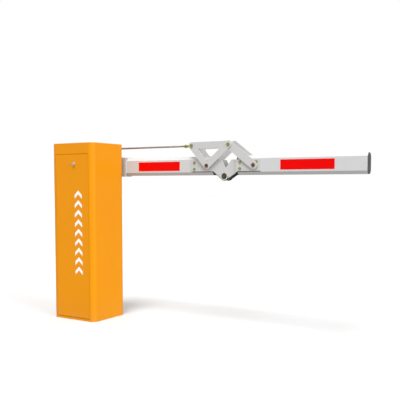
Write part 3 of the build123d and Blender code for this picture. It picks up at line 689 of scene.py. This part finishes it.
def cylinder(at: Vector, radius: float, length: float, axis: Axis, sides: int,
             rounding: float = 0.0) -> Piece:
    """A round or many-sided bar, whose end edges may be rounded.

    Args:
        at: Its middle.
        radius: Its radius.
        length: Its length.
        axis: The axis it lies along.
        sides: Sides of its outline.
        rounding: Width of the rounded end edges.

    Returns:
        The piece.
    """
    deselect()
    bpy.ops.mesh.primitive_cylinder_add(vertices=sides, radius=radius, depth=length, location=at,
                                        rotation=axis.turn())
    piece = settle(bpy.context.object, "bar")
    bevel(piece, rounding)
    return piece


def block(middle: Vector, half: Vector, rounding: float = 0.0) -> Piece:
    """A block whose edges may be rounded, modelled from a cube.

    Args:
        middle: Its middle.
        half: Half its size along each axis.
        rounding: Width of the rounded edges.

    Returns:
        The piece.
    """
    deselect()
    bpy.ops.mesh.primitive_cube_add(size=1.0, location=middle, scale=2 * half)
    piece = settle(bpy.context.object, "block")
    bevel(piece, rounding, 3, 40.0)
    return piece


def ring(at: Vector, outer: float, inner: float, length: float, axis: Axis, sides: int) -> Piece:
    """A washer or sleeve: a bar whose end faces are inset and bridged through.

    Args:
        at: Its middle.
        outer: Its outer radius.
        inner: Its bore's radius.
        length: Its length.
        axis: The axis it lies along.
        sides: Sides of its outline.

    Returns:
        The piece.
    """
    piece = cylinder(at, outer, length, axis, sides)
    edit_faces(piece, lambda face: len(face.verts) == sides)
    bpy.ops.mesh.inset(thickness=outer - inner, use_individual=True)
    bpy.ops.mesh.bridge_edge_loops()
    face_outwards()
    return piece


@dataclass
class PinHead:
    """A bolt or pin head on its seat.

    The seat is the middle of the surface under it, outward is 1 or -1 along the axis, the width
    is across the flats or the diameter, and the height includes a washer. The shares are parts
    of the width or the height.
    """

    seat: Vector
    outward: int
    width: float
    height: float
    axis: Axis
    washer_share: float = 0.28
    washer_radius: float = 0.62
    washer_rim: float = 0.05
    rim_share: float = 0.09
    dish_share: float = 0.16
    dish_depth: float = 0.12
    hexagon_edge: float = 0.1
    button_edge: float = 0.28
    key_radius: float = 0.24
    key_start: float = 0.5
    key_depth: float = 0.9
    drill_rim: float = 0.3
    drill_share: float = 0.08
    drill_depth: float = 0.35
    turned_edge: float = 0.16

    def bar(self, start: float, length: float, radius: float, sides: int,
            rounding: float = 0.0) -> Piece:
        """A bar on the head's own line.

        Args:
            start: Height above the seat at which it starts.
            length: Its length.
            radius: Its radius.
            sides: Sides of its outline.
            rounding: Width of the rounded end edges.

        Returns:
            The bar.
        """
        at = self.seat + self.axis.step(self.outward * (start + length / 2))
        return cylinder(at, radius, length, self.axis, sides, rounding)

    def dish(self, head: Piece, rim: float, share: float, depth: float) -> None:
        """Sinks the middle of a head's outer face inside a flat rim.

        Args:
            head: The head.
            rim: The rim's width.
            share: Width of the slope inside the rim.
            depth: How far it sinks.
        """
        out = self.axis.step(self.outward)
        edit_faces(head, lambda face: face.normal.dot(out) > 0.9)
        bpy.ops.mesh.inset(thickness=rim, depth=0.0)
        bpy.ops.mesh.inset(thickness=share, depth=-depth)
        finish_edit()

    def hexagon(self) -> Piece:
        """A hexagon head with a chamfered rim and a washer under it.

        Returns:
            The joined head and washer.
        """
        washer_t = self.height * self.washer_share
        washer = self.bar(0.0, washer_t, self.width * self.washer_radius, 36,
                          self.height * self.washer_rim)
        tall = self.height - washer_t
        sides = Head.HEXAGON.value
        radius = self.width / 2 / math.cos(math.pi / sides)
        head = self.bar(washer_t, tall, radius, sides)
        self.dish(head, self.width * self.rim_share, self.width * self.dish_share,
                  tall * self.dish_depth)
        bevel(head, tall * self.hexagon_edge, 2, 30.0)
        made = join([washer, head], "head")
        smooth(made)
        return made

    def socket(self) -> Piece:
        """A round head with a hexagon socket in its face.

        Returns:
            The head.
        """
        head = self.bar(0.0, self.height, self.width / 2, Head.SOCKET.value)
        bevel(head, self.height * self.button_edge, 3)
        deep = self.height * self.key_depth
        key = self.bar(self.height * self.key_start, deep, self.width * self.key_radius,
                       Head.HEXAGON.value)
        cut(head, key)
        smooth(head, 28.0)
        return head

    def turned(self) -> Piece:
        """A turned head with a chamfered rim and a centre drilling.

        Returns:
            The head.
        """
        head = self.bar(0.0, self.height, self.width / 2, Head.TURNED.value)
        self.dish(head, self.width * self.drill_rim, self.width * self.drill_share,
                  self.height * self.drill_depth)
        bevel(head, self.height * self.turned_edge)
        smooth(head)
        return head


def helix(base: Vector, coil_radius: float, wire_radius: float, pitch: float, turns: int,
          axis: Axis, sides: int, steps: int) -> Piece:
    """A coil of round wire with closed ends, swept by a screw modifier.

    Args:
        base: Where the coil's centre line starts.
        coil_radius: Radius to the wire's middle.
        wire_radius: The wire's radius.
        pitch: Rise per turn.
        turns: Number of turns.
        axis: The axis it climbs along.
        sides: Sides of the wire.
        steps: Steps per turn.

    Returns:
        The coil.
    """
    deselect()
    bpy.ops.mesh.primitive_circle_add(vertices=sides, radius=wire_radius, fill_type="NOTHING",
                                      location=(coil_radius, 0, 0), rotation=(math.pi / 2, 0, 0))
    piece = settle(bpy.context.object, "coil")
    modify(piece, "SCREW", angle=math.tau, screw_offset=pitch, iterations=turns, steps=steps,
           render_steps=steps, axis="Z", use_merge_vertices=False)
    edit(piece)
    bpy.ops.mesh.remove_doubles(threshold=WELD_REACH)
    bpy.ops.mesh.select_all(action="DESELECT")
    bpy.ops.mesh.select_non_manifold(extend=False)
    bpy.ops.mesh.edge_face_add()
    face_outwards()
    piece.rotation_euler = axis.turn()
    piece.location = base
    settle(piece, "coil")
    smooth(piece, 50.0)
    return piece


def cut(piece: Piece, cutter: Piece) -> None:
    """Cuts a closed shape out of a piece and throws the shape away.

    Args:
        piece: The piece that is cut.
        cutter: The shape to take away.
    """
    modify(piece, "BOOLEAN", object=cutter, operation="DIFFERENCE", solver="EXACT")
    bpy.data.objects.remove(cutter, do_unlink=True)


def pin_between_heads(low: Vector, high: Vector, shank: float, height: float,
                      style: Head) -> Piece:
    """A pin along Y through two plates: a shank with a head at each end.

    Args:
        low: Lowest corner of its space.
        high: Highest corner of its space.
        shank: The shank's radius.
        height: The height of each head.
        style: The kind of head.

    Returns:
        The joined pin.
    """
    middle = centre(low, high)
    length = high.y - low.y
    width = high.z - low.z
    parts = [cylinder(middle, shank, length - height, Axis.Y, 36)]
    for side in (-1, 1):
        seat = middle + Axis.Y.step(side * (length / 2 - height))
        if style is Head.HEXAGON:
            parts.append(PinHead(seat, side, width * FLATS_SHARE, height, Axis.Y).hexagon())
        else:
            parts.append(PinHead(seat, side, width, height, Axis.Y).turned())
    return join(parts, "pin")


def copies_at(source: Piece, offsets: list[Vector], name: str) -> Piece:
    """Copies a finished piece to more places, each copy with its own mesh, and joins them.

    Args:
        source: The piece, which is used for the first place.
        offsets: Moves from the first place to the others.
        name: The joined piece's name.

    Returns:
        The joined piece.
    """
    pieces = [source]
    for number, offset in enumerate(offsets, start=2):
        twin = source.copy()
        twin.data = source.data.copy()
        twin.location = offset
        bpy.context.scene.collection.objects.link(twin)
        pieces.append(settle(twin, f"{name}_{number}"))
    return join(pieces, name)


def moves_between(boxes: list[Corners]) -> list[Vector]:
    """The moves from the first box's middle to each of the others'."""
    return [centre(*box) - centre(*boxes[0]) for box in boxes[1:]]


def grid_moves(across: float, up: float, columns: int, rows: int) -> list[Vector]:
    """The moves from a grid's first place to its others.

    Args:
        across: Pitch along X.
        up: Pitch along Z.
        columns: Places along X.
        rows: Places along Z.

    Returns:
        The moves, row by row.
    """
    return [Vector((across * column, 0, up * row))
            for row in range(rows) for column in range(columns) if row or column]


# ---- Sub-assemblies ----
@dataclass
class Cabinet:
    """The sheet-steel cabinet with its lid, base, frame and seals."""

    sheet_edge: float = 0.9 * MM
    frame_edge: float = 0.6 * MM
    rubber_edge: float = 0.8 * MM
    screw_height: float = 2.9 * MM
    weld_radius: float = 2.2 * MM
    weld_pitch: float = 2.6 * MM
    weld_shape: Point = (1.0, 1.1, 0.85)

    def build(self) -> None:
        """Builds the cabinet's pieces in order."""
        dress(self.sheet_edge, "cabinet_shell", "top_lid", "base_plate", steps=3)
        dress(self.frame_edge, "frame_posts", "shaft_deck", "gearbox_deck", finish=FRAME_COAT)
        dress(self.frame_edge, "tie_anchor", "back_plate", "hinge_pins")
        dress(self.rubber_edge, "shaft_seal")
        self.lid_screws()
        self.post_welds()
        dress(self.rubber_edge, "cable_grommet", steps=3)

    def lid_screws(self) -> None:
        """Button-head screws at the lid's corners."""
        boxes = solids_of("lid_screws")
        low, high = boxes[0]
        seat = centre(low, high)
        seat.z = low.z
        head = PinHead(seat, 1, high.x - low.x, self.screw_height, Axis.Z).socket()
        screws = copies_at(head, moves_between(boxes), "lid_screw_heads")
        stand_in(screws, "lid_screws", MACHINED)

    def post_welds(self) -> None:
        """Weld beads where each post stands on the base plate."""
        runs = []
        floor_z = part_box("base_plate")[1].z
        for low, high in solids_of("frame_posts"):
            inner_y = low.y if centre(low, high).y > 0 else high.y
            start = Vector((low.x + self.weld_radius, inner_y, floor_z + self.weld_radius / 2))
            count = int((high.x - low.x - 2 * self.weld_radius) / self.weld_pitch)
            deselect()
            bpy.ops.mesh.primitive_uv_sphere_add(segments=12, ring_count=8, location=start,
                                                 radius=self.weld_radius, scale=self.weld_shape)
            bead = settle(bpy.context.object, "weld_bead")
            runs.append(copies_at(bead, grid_moves(self.weld_pitch, 0.0, count, 1), "weld_run"))
        welds = join(runs, "post_weld_beads")
        activate(welds)
        bpy.ops.object.shade_smooth()
        place(welds, FRAME_COAT)


@dataclass
class Door:
    """The tilting front door with its marking film and lock."""

    sheet_edge: float = 0.9 * MM
    lock_edge: float = 1.0 * MM
    plug_edge: float = 0.2 * MM
    key_way: Point = (0.8 * MM, 2.2 * MM, 3.5 * MM)

    def build(self) -> None:
        """Builds the door's pieces in order."""
        dress(self.sheet_edge, "door", steps=3)
        lay_film("door_decal")
        dress(self.lock_edge, "lock_barrel", steps=3)
        dress(self.lock_edge, "lock_cam")
        self.plug()

    def plug(self) -> None:
        """The lock's turning plug with its key slot."""
        piece = copy_cad("lock_plug", "lock_plug_finished")
        low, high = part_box("lock_plug")
        face = centre(low, high)
        face.y = low.y
        cut(piece, block(face, Vector(self.key_way)))
        soften(piece, self.plug_edge)
        stand_in(piece, "lock_plug", CHROME)


@dataclass
class Drive:
    """The motor, gearbox, shaft, stops and balance springs inside the cabinet."""

    casting_edge: float = 1.6 * MM
    steel_edge: float = 0.5 * MM
    ring_radii: tuple[float, ...] = (42.0 * MM, 30.0 * MM, 20.0 * MM)
    ring_width: float = 2.0 * MM
    ring_height: float = 1.6 * MM
    ring_rise: float = 0.6 * MM
    ring_edge: float = 0.3 * MM
    hub_radius: float = 9.0 * MM
    hub_height: float = 2.2 * MM
    foot_step: float = 6.0 * MM
    cover_z: float = 580.0 * MM
    cover_radius: float = 40.0 * MM
    cover_depth: float = 6.0 * MM
    cover_rise: float = 2.0 * MM
    cover_edge: float = 1.2 * MM
    cover_bolts: int = 6
    cover_bolt_ring: float = 32.0 * MM
    cover_bolt: float = 10.0 * MM
    cover_bolt_height: float = 4.5 * MM
    drain_plug: float = 14.0 * MM
    drain_height: float = 7.0 * MM
    drain_rise: float = 30.0 * MM
    bolt_flats: float = 15.5 * MM
    bolt_height: float = 7.0 * MM
    bolt_sunk: float = 2.0 * MM
    bolt_shank: float = 5.0 * MM
    nipple_radius: float = 3.0 * MM
    nipple_height: float = 9.0 * MM
    collar_height: float = 2.0 * MM
    wire_radius: float = 1.5 * MM
    spring_turns: int = 52
    hook_length: float = 25.0 * MM

    def build(self) -> None:
        """Builds the drive's pieces in order."""
        dress(self.casting_edge, "gearbox", "motor", "bearings", steps=3)
        dress(self.steel_edge, "output_crank", "connecting_rod", "main_shaft", "shaft_lever",
              "lever_pins", "shaft_flange", "spring_anchor", "limit_cam")
        dress(self.steel_edge, "stop_brackets", finish=FRAME_COAT)
        dress(self.steel_edge, "stop_pads", "motor_cowl")
        self.cowl_rings()
        self.gearbox_details()
        self.bearing_bolts()
        self.grease_nipples()
        self.springs()

    def cowl_rings(self) -> None:
        """Raised rings and a hub on the fan cowl's end."""
        low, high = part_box("motor_cowl")
        top = centre(low, high)
        top.z = high.z + self.ring_rise
        rings = [ring(top, radius, radius - self.ring_width, self.ring_height, Axis.Z, 48)
                 for radius in self.ring_radii]
        hub = cylinder(top, self.hub_radius, self.hub_height, Axis.Z, 32, self.ring_rise)
        guard = join([*rings, hub], "cowl_guard_rings")
        soften(guard, self.ring_edge)
        place(guard, BLACK_PLASTIC)

    def gearbox_details(self) -> None:
        """The gearbox's cover with its bolts, and the oil plug."""
        low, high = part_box("gearbox")
        outer_x = high.x - self.foot_step + self.cover_rise
        middle = Vector((outer_x - self.cover_depth / 2, centre(low, high).y, self.cover_z))
        cover = cylinder(middle, self.cover_radius, self.cover_depth, Axis.X, 64, self.cover_edge)
        reach = self.cover_bolt_ring
        seat = Vector((outer_x, middle.y, self.cover_z + reach))
        bolt = PinHead(seat, 1, self.cover_bolt, self.cover_bolt_height, Axis.X).hexagon()
        turns = [math.tau * number / self.cover_bolts for number in range(1, self.cover_bolts)]
        moves = [Vector((0, reach * math.sin(turn), reach * (math.cos(turn) - 1)))
                 for turn in turns]
        bolts = copies_at(bolt, moves, "gearbox_cover_bolts")
        soften(cover, 0.0)
        place(settle(cover, "gearbox_cover"), CASTING)
        place(bolts, ZINC)
        seat = Vector((low.x + self.foot_step, middle.y, low.z + self.drain_rise))
        drain = PinHead(seat, -1, self.drain_plug, self.drain_height, Axis.X).hexagon()
        place(settle(drain, "oil_drain_plug"), MACHINED)

    def bearing_bolts(self) -> None:
        """The hexagon bolts that hold the bearings on the deck."""
        parts = []
        for low, high in solids_of("bearing_bolts"):
            seat = centre(low, high)
            seat.z = high.z - self.bolt_height
            head = PinHead(seat.copy(), 1, self.bolt_flats, self.bolt_height, Axis.Z)
            parts.append(head.hexagon())
            length = seat.z + self.bolt_sunk - low.z
            seat.z = low.z + length / 2
            parts.append(cylinder(seat, self.bolt_shank, length, Axis.Z, 24, 0.6 * MM))
        stand_in(join(parts, "bearing_bolt_heads"), "bearing_bolts", ZINC)

    def grease_nipples(self) -> None:
        """A grease nipple on top of each bearing."""
        nipples = []
        radius = self.nipple_radius
        for low, high in solids_of("bearings"):
            top = centre(low, high)
            top.z = high.z + self.nipple_height / 2 - 1 * MM
            nipples += [cylinder(top, radius, self.nipple_height, Axis.Z, 20, 0.8 * MM),
                        ring(top, radius * 1.5, radius * 0.9, self.collar_height, Axis.Z, 20)]
        made = join(nipples, "bearing_grease_nipples")
        soften(made, 0.2 * MM)
        place(made, BRASS)

    def springs(self) -> None:
        """The two coiled balance springs with end hooks."""
        coils = []
        for low, high in solids_of("balance_springs"):
            middle = centre(low, high)
            mean = (high.x - low.x) / 2 - self.wire_radius
            bottom = low.z + self.hook_length
            top = high.z - self.hook_length
            base = Vector((middle.x, middle.y, bottom))
            coils += [helix(base, mean, self.wire_radius, (top - bottom) / self.spring_turns,
                            self.spring_turns, Axis.Z, 10, 24),
                      self.hook(middle, low.z, bottom, mean), self.hook(middle, high.z, top, mean)]
        springs = join(coils, "balance_spring_coils")
        stand_in(springs, "balance_springs", SPRING_WIRE)
        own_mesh(springs)

    def hook(self, middle: Vector, tip: float, start: float, mean: float) -> Piece:
        """A spring's end hook: a ring of wire in the plane of its pin, and a tail into the coil.

        Args:
            middle: The spring's middle.
            tip: Height of the hook's far side.
            start: Height of the coil's end.
            mean: Radius to the middle of the wire.

        Returns:
            The hook.
        """
        wire = self.wire_radius
        way = 1 if tip > start else -1
        loop_at = Vector((middle.x, middle.y, tip - way * (mean + wire)))
        deselect()
        bpy.ops.mesh.primitive_torus_add(major_radius=mean, minor_radius=wire, major_segments=40,
                                         minor_segments=10, location=loop_at,
                                         rotation=(math.pi / 2, 0, 0))
        loop = settle(bpy.context.object, "loop")
        tail_from = loop_at.z - way * mean
        tail_at = Vector((middle.x, middle.y, (tail_from + start) / 2))
        tail = cylinder(tail_at, wire, abs(tail_from - start) + wire, Axis.Z, 10)
        bridge_at = Vector((middle.x + mean / 2, middle.y, start))
        made = join([loop, tail, cylinder(bridge_at, wire, mean, Axis.X, 10)], "hook")
        smooth(made, 50.0)
        return made


@dataclass
class Controls:
    """The control box, terminals and limit switches."""

    moulded_edge: float = 1.2 * MM
    key_half: Point = (4.5 * MM, 1.6 * MM, 4.5 * MM)
    key_from: Point = (30.0 * MM, 0.0, 34.0 * MM)
    key_pitch: float = 13.0 * MM
    key_rows: int = 3
    key_columns: int = 4
    window_half: Point = (26.0 * MM, 1.0 * MM, 13.0 * MM)
    window_from: Point = (52.0 * MM, 0.0, -49.0 * MM)
    terminal_pitch: float = 13.0 * MM
    terminal_columns: int = 12
    terminal_rise: float = 7.0 * MM
    terminal_head: tuple[float, float] = (2.6 * MM, 2.4 * MM)
    terminal_slot: Point = (2.4 * MM, 0.7 * MM, 0.4 * MM)
    screw_inset: float = 8.0 * MM
    screw_head: tuple[float, float] = (7.0 * MM, 2.2 * MM)

    def build(self) -> None:
        """Builds the controls' pieces in order."""
        dress(self.moulded_edge, "control_box", "terminal_strip", "limit_switches", steps=3)
        self.keypad()
        self.terminals()
        self.cover_screws()

    def keypad(self) -> None:
        """Plain push keys and a status window on the control box's cover."""
        low, high = solids_of("control_box")[-1]
        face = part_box("control_box")[0].y
        start = Vector((low.x, face, low.z)) + Vector(self.key_from)
        key = block(start, Vector(self.key_half), 0.9 * MM)
        moves = grid_moves(self.key_pitch, self.key_pitch, self.key_columns, self.key_rows)
        keys = copies_at(key, moves, "control_keys")
        smooth(keys)
        place(keys, RUBBER)
        middle = Vector((low.x, face, high.z)) + Vector(self.window_from)
        window = block(middle, Vector(self.window_half), 0.8 * MM)
        soften(window, 0.0)
        place(settle(window, "status_window"), BLACK_PLASTIC)

    def terminals(self) -> None:
        """Two rows of slotted clamp screws along the terminal strip."""
        low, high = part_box("terminal_strip")
        middle = centre(low, high)
        half_row = (self.terminal_columns - 1) * self.terminal_pitch / 2
        first = Vector((middle.x - half_row, low.y, middle.z + self.terminal_rise))
        radius, height = self.terminal_head
        head = cylinder(first, radius, height, Axis.Y, 20, 0.5 * MM)
        cut(head, block(first - Axis.Y.step(height / 2), Vector(self.terminal_slot)))
        moves = grid_moves(self.terminal_pitch, -2 * self.terminal_rise, self.terminal_columns, 2)
        screws = copies_at(head, moves, "terminal_clamp_screws")
        smooth(screws)
        place(screws, ZINC)

    def cover_screws(self) -> None:
        """Four screws at the corners of the control box's cover."""
        low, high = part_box("control_box")
        inset = Vector((self.screw_inset, 0, self.screw_inset))
        head = PinHead(low + inset, -1, *self.screw_head, Axis.Y).socket()
        span = high - low - 2 * inset
        moves = grid_moves(span.x, span.z, 2, 2)
        place(copies_at(head, moves, "box_cover_screws"), MACHINED)


@dataclass
class Arm:
    """The two arm tubes with their holder, brackets, films, caps and bolts."""

    tube_edge: float = 1.0 * MM
    plate_edge: float = 0.7 * MM
    cap_edge: float = 1.5 * MM
    head_height: float = 3.5 * MM
    holder_head_height: float = 5.0 * MM
    shank_radius: float = 4.0 * MM
    pin_radius: float = 8.0 * MM
    pin_washer_share: float = 0.4
    pin_washer_bore: float = 0.6
    pin_inset: float = 0.24
    # How far the black strip that paints the shadow under each bracket shows below the plates.
    shadow_strip_drop: float = 2.6 * MM
    shadow_strip_inset: float = 0.15 * MM
    shadow_strip_least: float = 14.0 * MM

    def build(self) -> None:
        """Builds the arm's pieces in order."""
        brackets = ("elbow_bracket_1", "elbow_bracket_2")
        dress(self.tube_edge, "arm_1_tube", "arm_2_tube", steps=3)
        dress(self.plate_edge, "arm_holder", "holder_cover", *brackets)
        # Black strips under each bracket paint the shadow along the plates' lower edges.
        for bracket in brackets:
            self.shadow_strip(bracket)
        dress(self.cap_edge, "arm_1_plug", "arm_2_plug", "arm_tip_cap", steps=3)
        for film in ("red_strips_1", "red_strips_2"):
            lay_film(film)
        self.through_bolts("bracket_bolts_1", self.head_height)
        self.through_bolts("bracket_bolts_2", self.head_height)
        self.through_bolts("holder_bolts", self.holder_head_height)
        self.elbow_pin()

    def elbow_pin(self) -> None:
        """The turned elbow pin with a dark washer under each head, whose dark rim is painted
        contact shadow round the head.
        """
        low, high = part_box("elbow_pin")
        thick = self.head_height * self.pin_washer_share
        radius = (high.x - low.x) / 2
        rings = []
        for side in (-1, 1):
            reach = (high.y - low.y) / 2 - self.head_height + thick / 2
            at = centre(low, high) + Axis.Y.step(side * reach)
            rings.append(ring(at, radius, radius * self.pin_washer_bore, thick, Axis.Y, 40))
        washers = join(rings, "elbow_pin_shadow_rings")
        soften(washers, 0.2 * MM)
        # Dark washers paint the contact shadow ring round the pin's heads.
        place(washers, DARK_STEEL, NODE_BODY["elbow_pin"])
        inset = Vector((radius * self.pin_inset, 0, radius * self.pin_inset))
        pin = pin_between_heads(low + inset, high - inset, self.pin_radius, self.head_height,
                                Head.TURNED)
        stand_in(settle(pin, "elbow_pin_turned"), "elbow_pin", BRASS)

    def shadow_strip(self, node: str) -> None:
        """A black rubber strip along the lower edge of a bracket's plates: painted shadow, a dark
        sliver standing in for the shade under the plates' edges.

        Args:
            node: The bracket that it lines.
        """
        strip = copy_cad(node, f"{node}_packing")
        edit(strip)
        bpy.ops.transform.shrink_fatten(value=-self.shadow_strip_inset)
        bpy.ops.transform.translate(value=(0, 0, -self.shadow_strip_drop))
        finish_edit()
        cut(strip, copy_cad(node, f"{node}_cutter"))
        edit(strip)
        bpy.ops.mesh.separate(type="LOOSE")
        finish_edit()
        kept = []
        for part in list(bpy.context.selected_objects):
            if max(part.dimensions) > self.shadow_strip_least:
                kept.append(part)
            else:
                bpy.data.objects.remove(part, do_unlink=True)
        made = join(kept, f"{node}_shadow_strips")
        smooth(made)
        # The black rubber finish here is painted shadow under the bracket's lower edge.
        place(made, RUBBER, NODE_BODY[node])

    def through_bolts(self, node: str, height: float) -> None:
        """Bolts through the arm with a low head on each side.

        Args:
            node: The CAD node they stand for.
            height: The height of each head.
        """
        boxes = solids_of(node)
        bolt = pin_between_heads(*boxes[0], self.shank_radius, height, Head.HEXAGON)
        stand_in(copies_at(bolt, moves_between(boxes), f"{node}_turned"), node, ZINC)


@dataclass
class Linkage:
    """The folding linkage: crank, link, tie rod and their pins."""

    plate_edge: float = 0.6 * MM
    pin_edge: float = 0.8 * MM
    end_edge: float = 0.5 * MM
    rod_radius: float = 5.0 * MM
    rod_edge: float = 0.6 * MM
    thread_pitch: float = 1.75 * MM
    thread_length: float = 42.0 * MM
    thread_depth: float = 0.55 * MM
    thread_wire: float = 0.6 * MM
    thread_sunk: float = 0.1 * MM
    thread_runout: float = 2.0 * MM

    def build(self) -> None:
        """Builds the linkage's pieces in order."""
        dress(self.plate_edge, "fold_crank", "fold_link")
        dress(self.pin_edge, "crank_pins", finish=ZINC, steps=3)
        dress(self.pin_edge, "link_studs", "crank_pivot_pin", finish=BRONZED, steps=3)
        self.rod()
        dress(self.end_edge, "rod_ends", "anchor_stud")

    def rod(self) -> None:
        """The tie rod with a rolled thread at each end."""
        low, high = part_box("tie_rod")
        middle = centre(low, high)
        length = high.x - low.x
        threaded = self.thread_length
        core = self.rod_radius - self.thread_depth
        turns = int((threaded - self.thread_runout) / self.thread_pitch)
        parts = [cylinder(middle, self.rod_radius, length - 2 * threaded, Axis.X, 40,
                          self.rod_edge)]
        for side in (-1, 1):
            at = middle + Axis.X.step(side * (length - threaded) / 2)
            start = at - Axis.X.step(turns * self.thread_pitch / 2)
            parts += [cylinder(at, core, threaded, Axis.X, 40, self.rod_edge),
                      helix(start, core - self.thread_sunk, self.thread_wire,
                            self.thread_pitch, turns, Axis.X, 6, 28)]
        made = join(parts, "tie_rod_threaded")
        smooth(made, 40.0)
        stand_in(made, "tie_rod", DRAWN_ROD)


@dataclass
class Studio:
    """The pale floor, soft lights and camera."""

    lens: float = 57.53
    sensor: float = 36.0
    far: float = 200.0
    camera_at: Point = (2.4595, -2.7554, 0.7605)
    camera_turn: Point = (90 - 4.031, 0.0, 32.259)
    shift: tuple[float, float] = (0.011, 0.0705)
    floor_size: float = 60.0
    above: float = 0.7
    below: float = 0.6
    fade: float = 0.4
    sun_reach: float = 5.0

    def build(self) -> None:
        """Builds the floor, world, lights and camera."""
        self.floor()
        self.world()
        self.sun("key", Vector((0.10, -0.36, 1.00)), 2.9, 22.0)
        self.sun("side", Vector((1.00, -0.25, 0.35)), 1.65, 30.0)
        self.camera()

    def floor(self) -> None:
        """A wide plain floor under the base plate, which throws no light back on the gate."""
        deselect()
        ground_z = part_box("base_plate")[0].z
        bpy.ops.mesh.primitive_plane_add(size=self.floor_size, location=(0, 0, ground_z))
        ground = settle(bpy.context.object, "studio_floor")
        ground.data.materials.append(FLOOR_PAPER.material())
        ground.visible_diffuse = False
        ground.visible_glossy = False

    def world(self) -> None:
        """A surround that lights softly, more from above, and shows as plain white."""
        world = bpy.data.worlds.new("white_surround")
        bpy.context.scene.world = world
        world.use_nodes = True
        tree = world.node_tree
        back = tree.nodes["Background"].inputs
        back["Color"].default_value = (1.0, 1.0, 1.0, 1.0)
        seen = add_node(tree, "LightPath").outputs["Is Camera Ray"]
        way = add_node(tree, "TexCoord").outputs["Generated"]
        height = add_node(tree, "SeparateXYZ", Vector=way).outputs["Z"]
        glow = add_node(tree, "MapRange", Value=height, From_Min=-self.fade, From_Max=self.fade,
                        To_Min=self.below, To_Max=self.above)
        strength = add_node(tree, "MapRange", Value=seen, To_Min=glow.outputs["Result"],
                            To_Max=1.0)
        tree.links.new(strength.outputs["Result"], back["Strength"])
        bpy.context.scene.view_settings.view_transform = "Standard"

    def hang(self, name: str, data: bpy.types.ID, at: Vector, turn: Point) -> Piece:
        """Puts a light or a camera in the scene.

        Args:
            name: Its name.
            data: The light or camera.
            at: Its place.
            turn: Its Euler angles.

        Returns:
            The new object.
        """
        holder = bpy.data.objects.new(name, data)
        holder.location = at
        holder.rotation_euler = turn
        bpy.context.scene.collection.objects.link(holder)
        return holder

    def sun(self, name: str, towards: Vector, strength: float, spread: float) -> None:
        """A far soft light.

        Args:
            name: Its name.
            towards: The way from the gate to the light.
            strength: Its strength.
            spread: The angle that it fills, in degrees.
        """
        lamp = bpy.data.lights.new(f"{name}_light", "SUN")
        lamp.energy = strength
        lamp.angle = math.radians(spread)
        self.hang(f"{name}_light", lamp, towards.normalized() * self.sun_reach,
                  towards.to_track_quat("Z", "Y").to_euler())

    def camera(self) -> None:
        """The camera, in front of the gate and to its right."""
        lens = bpy.data.cameras.new("gate_camera")
        lens.sensor_width = self.sensor
        lens.lens = self.lens
        lens.shift_x, lens.shift_y = self.shift
        lens.clip_end = self.far
        turn = [math.radians(angle) for angle in self.camera_turn]
        bpy.context.scene.camera = self.hang("gate_camera", lens, self.camera_at, turn)


def main() -> None:
    """Builds the gate's sub-assemblies and the studio in order."""
    logging.basicConfig(level=logging.INFO, format="%(message)s")
    for part in (Cabinet(), Door(), Drive(), Controls(), Arm(), Linkage(), Studio()):
        LOG.info("building %s", type(part).__name__)
        part.build()


if __name__ == "__main__":
    main()
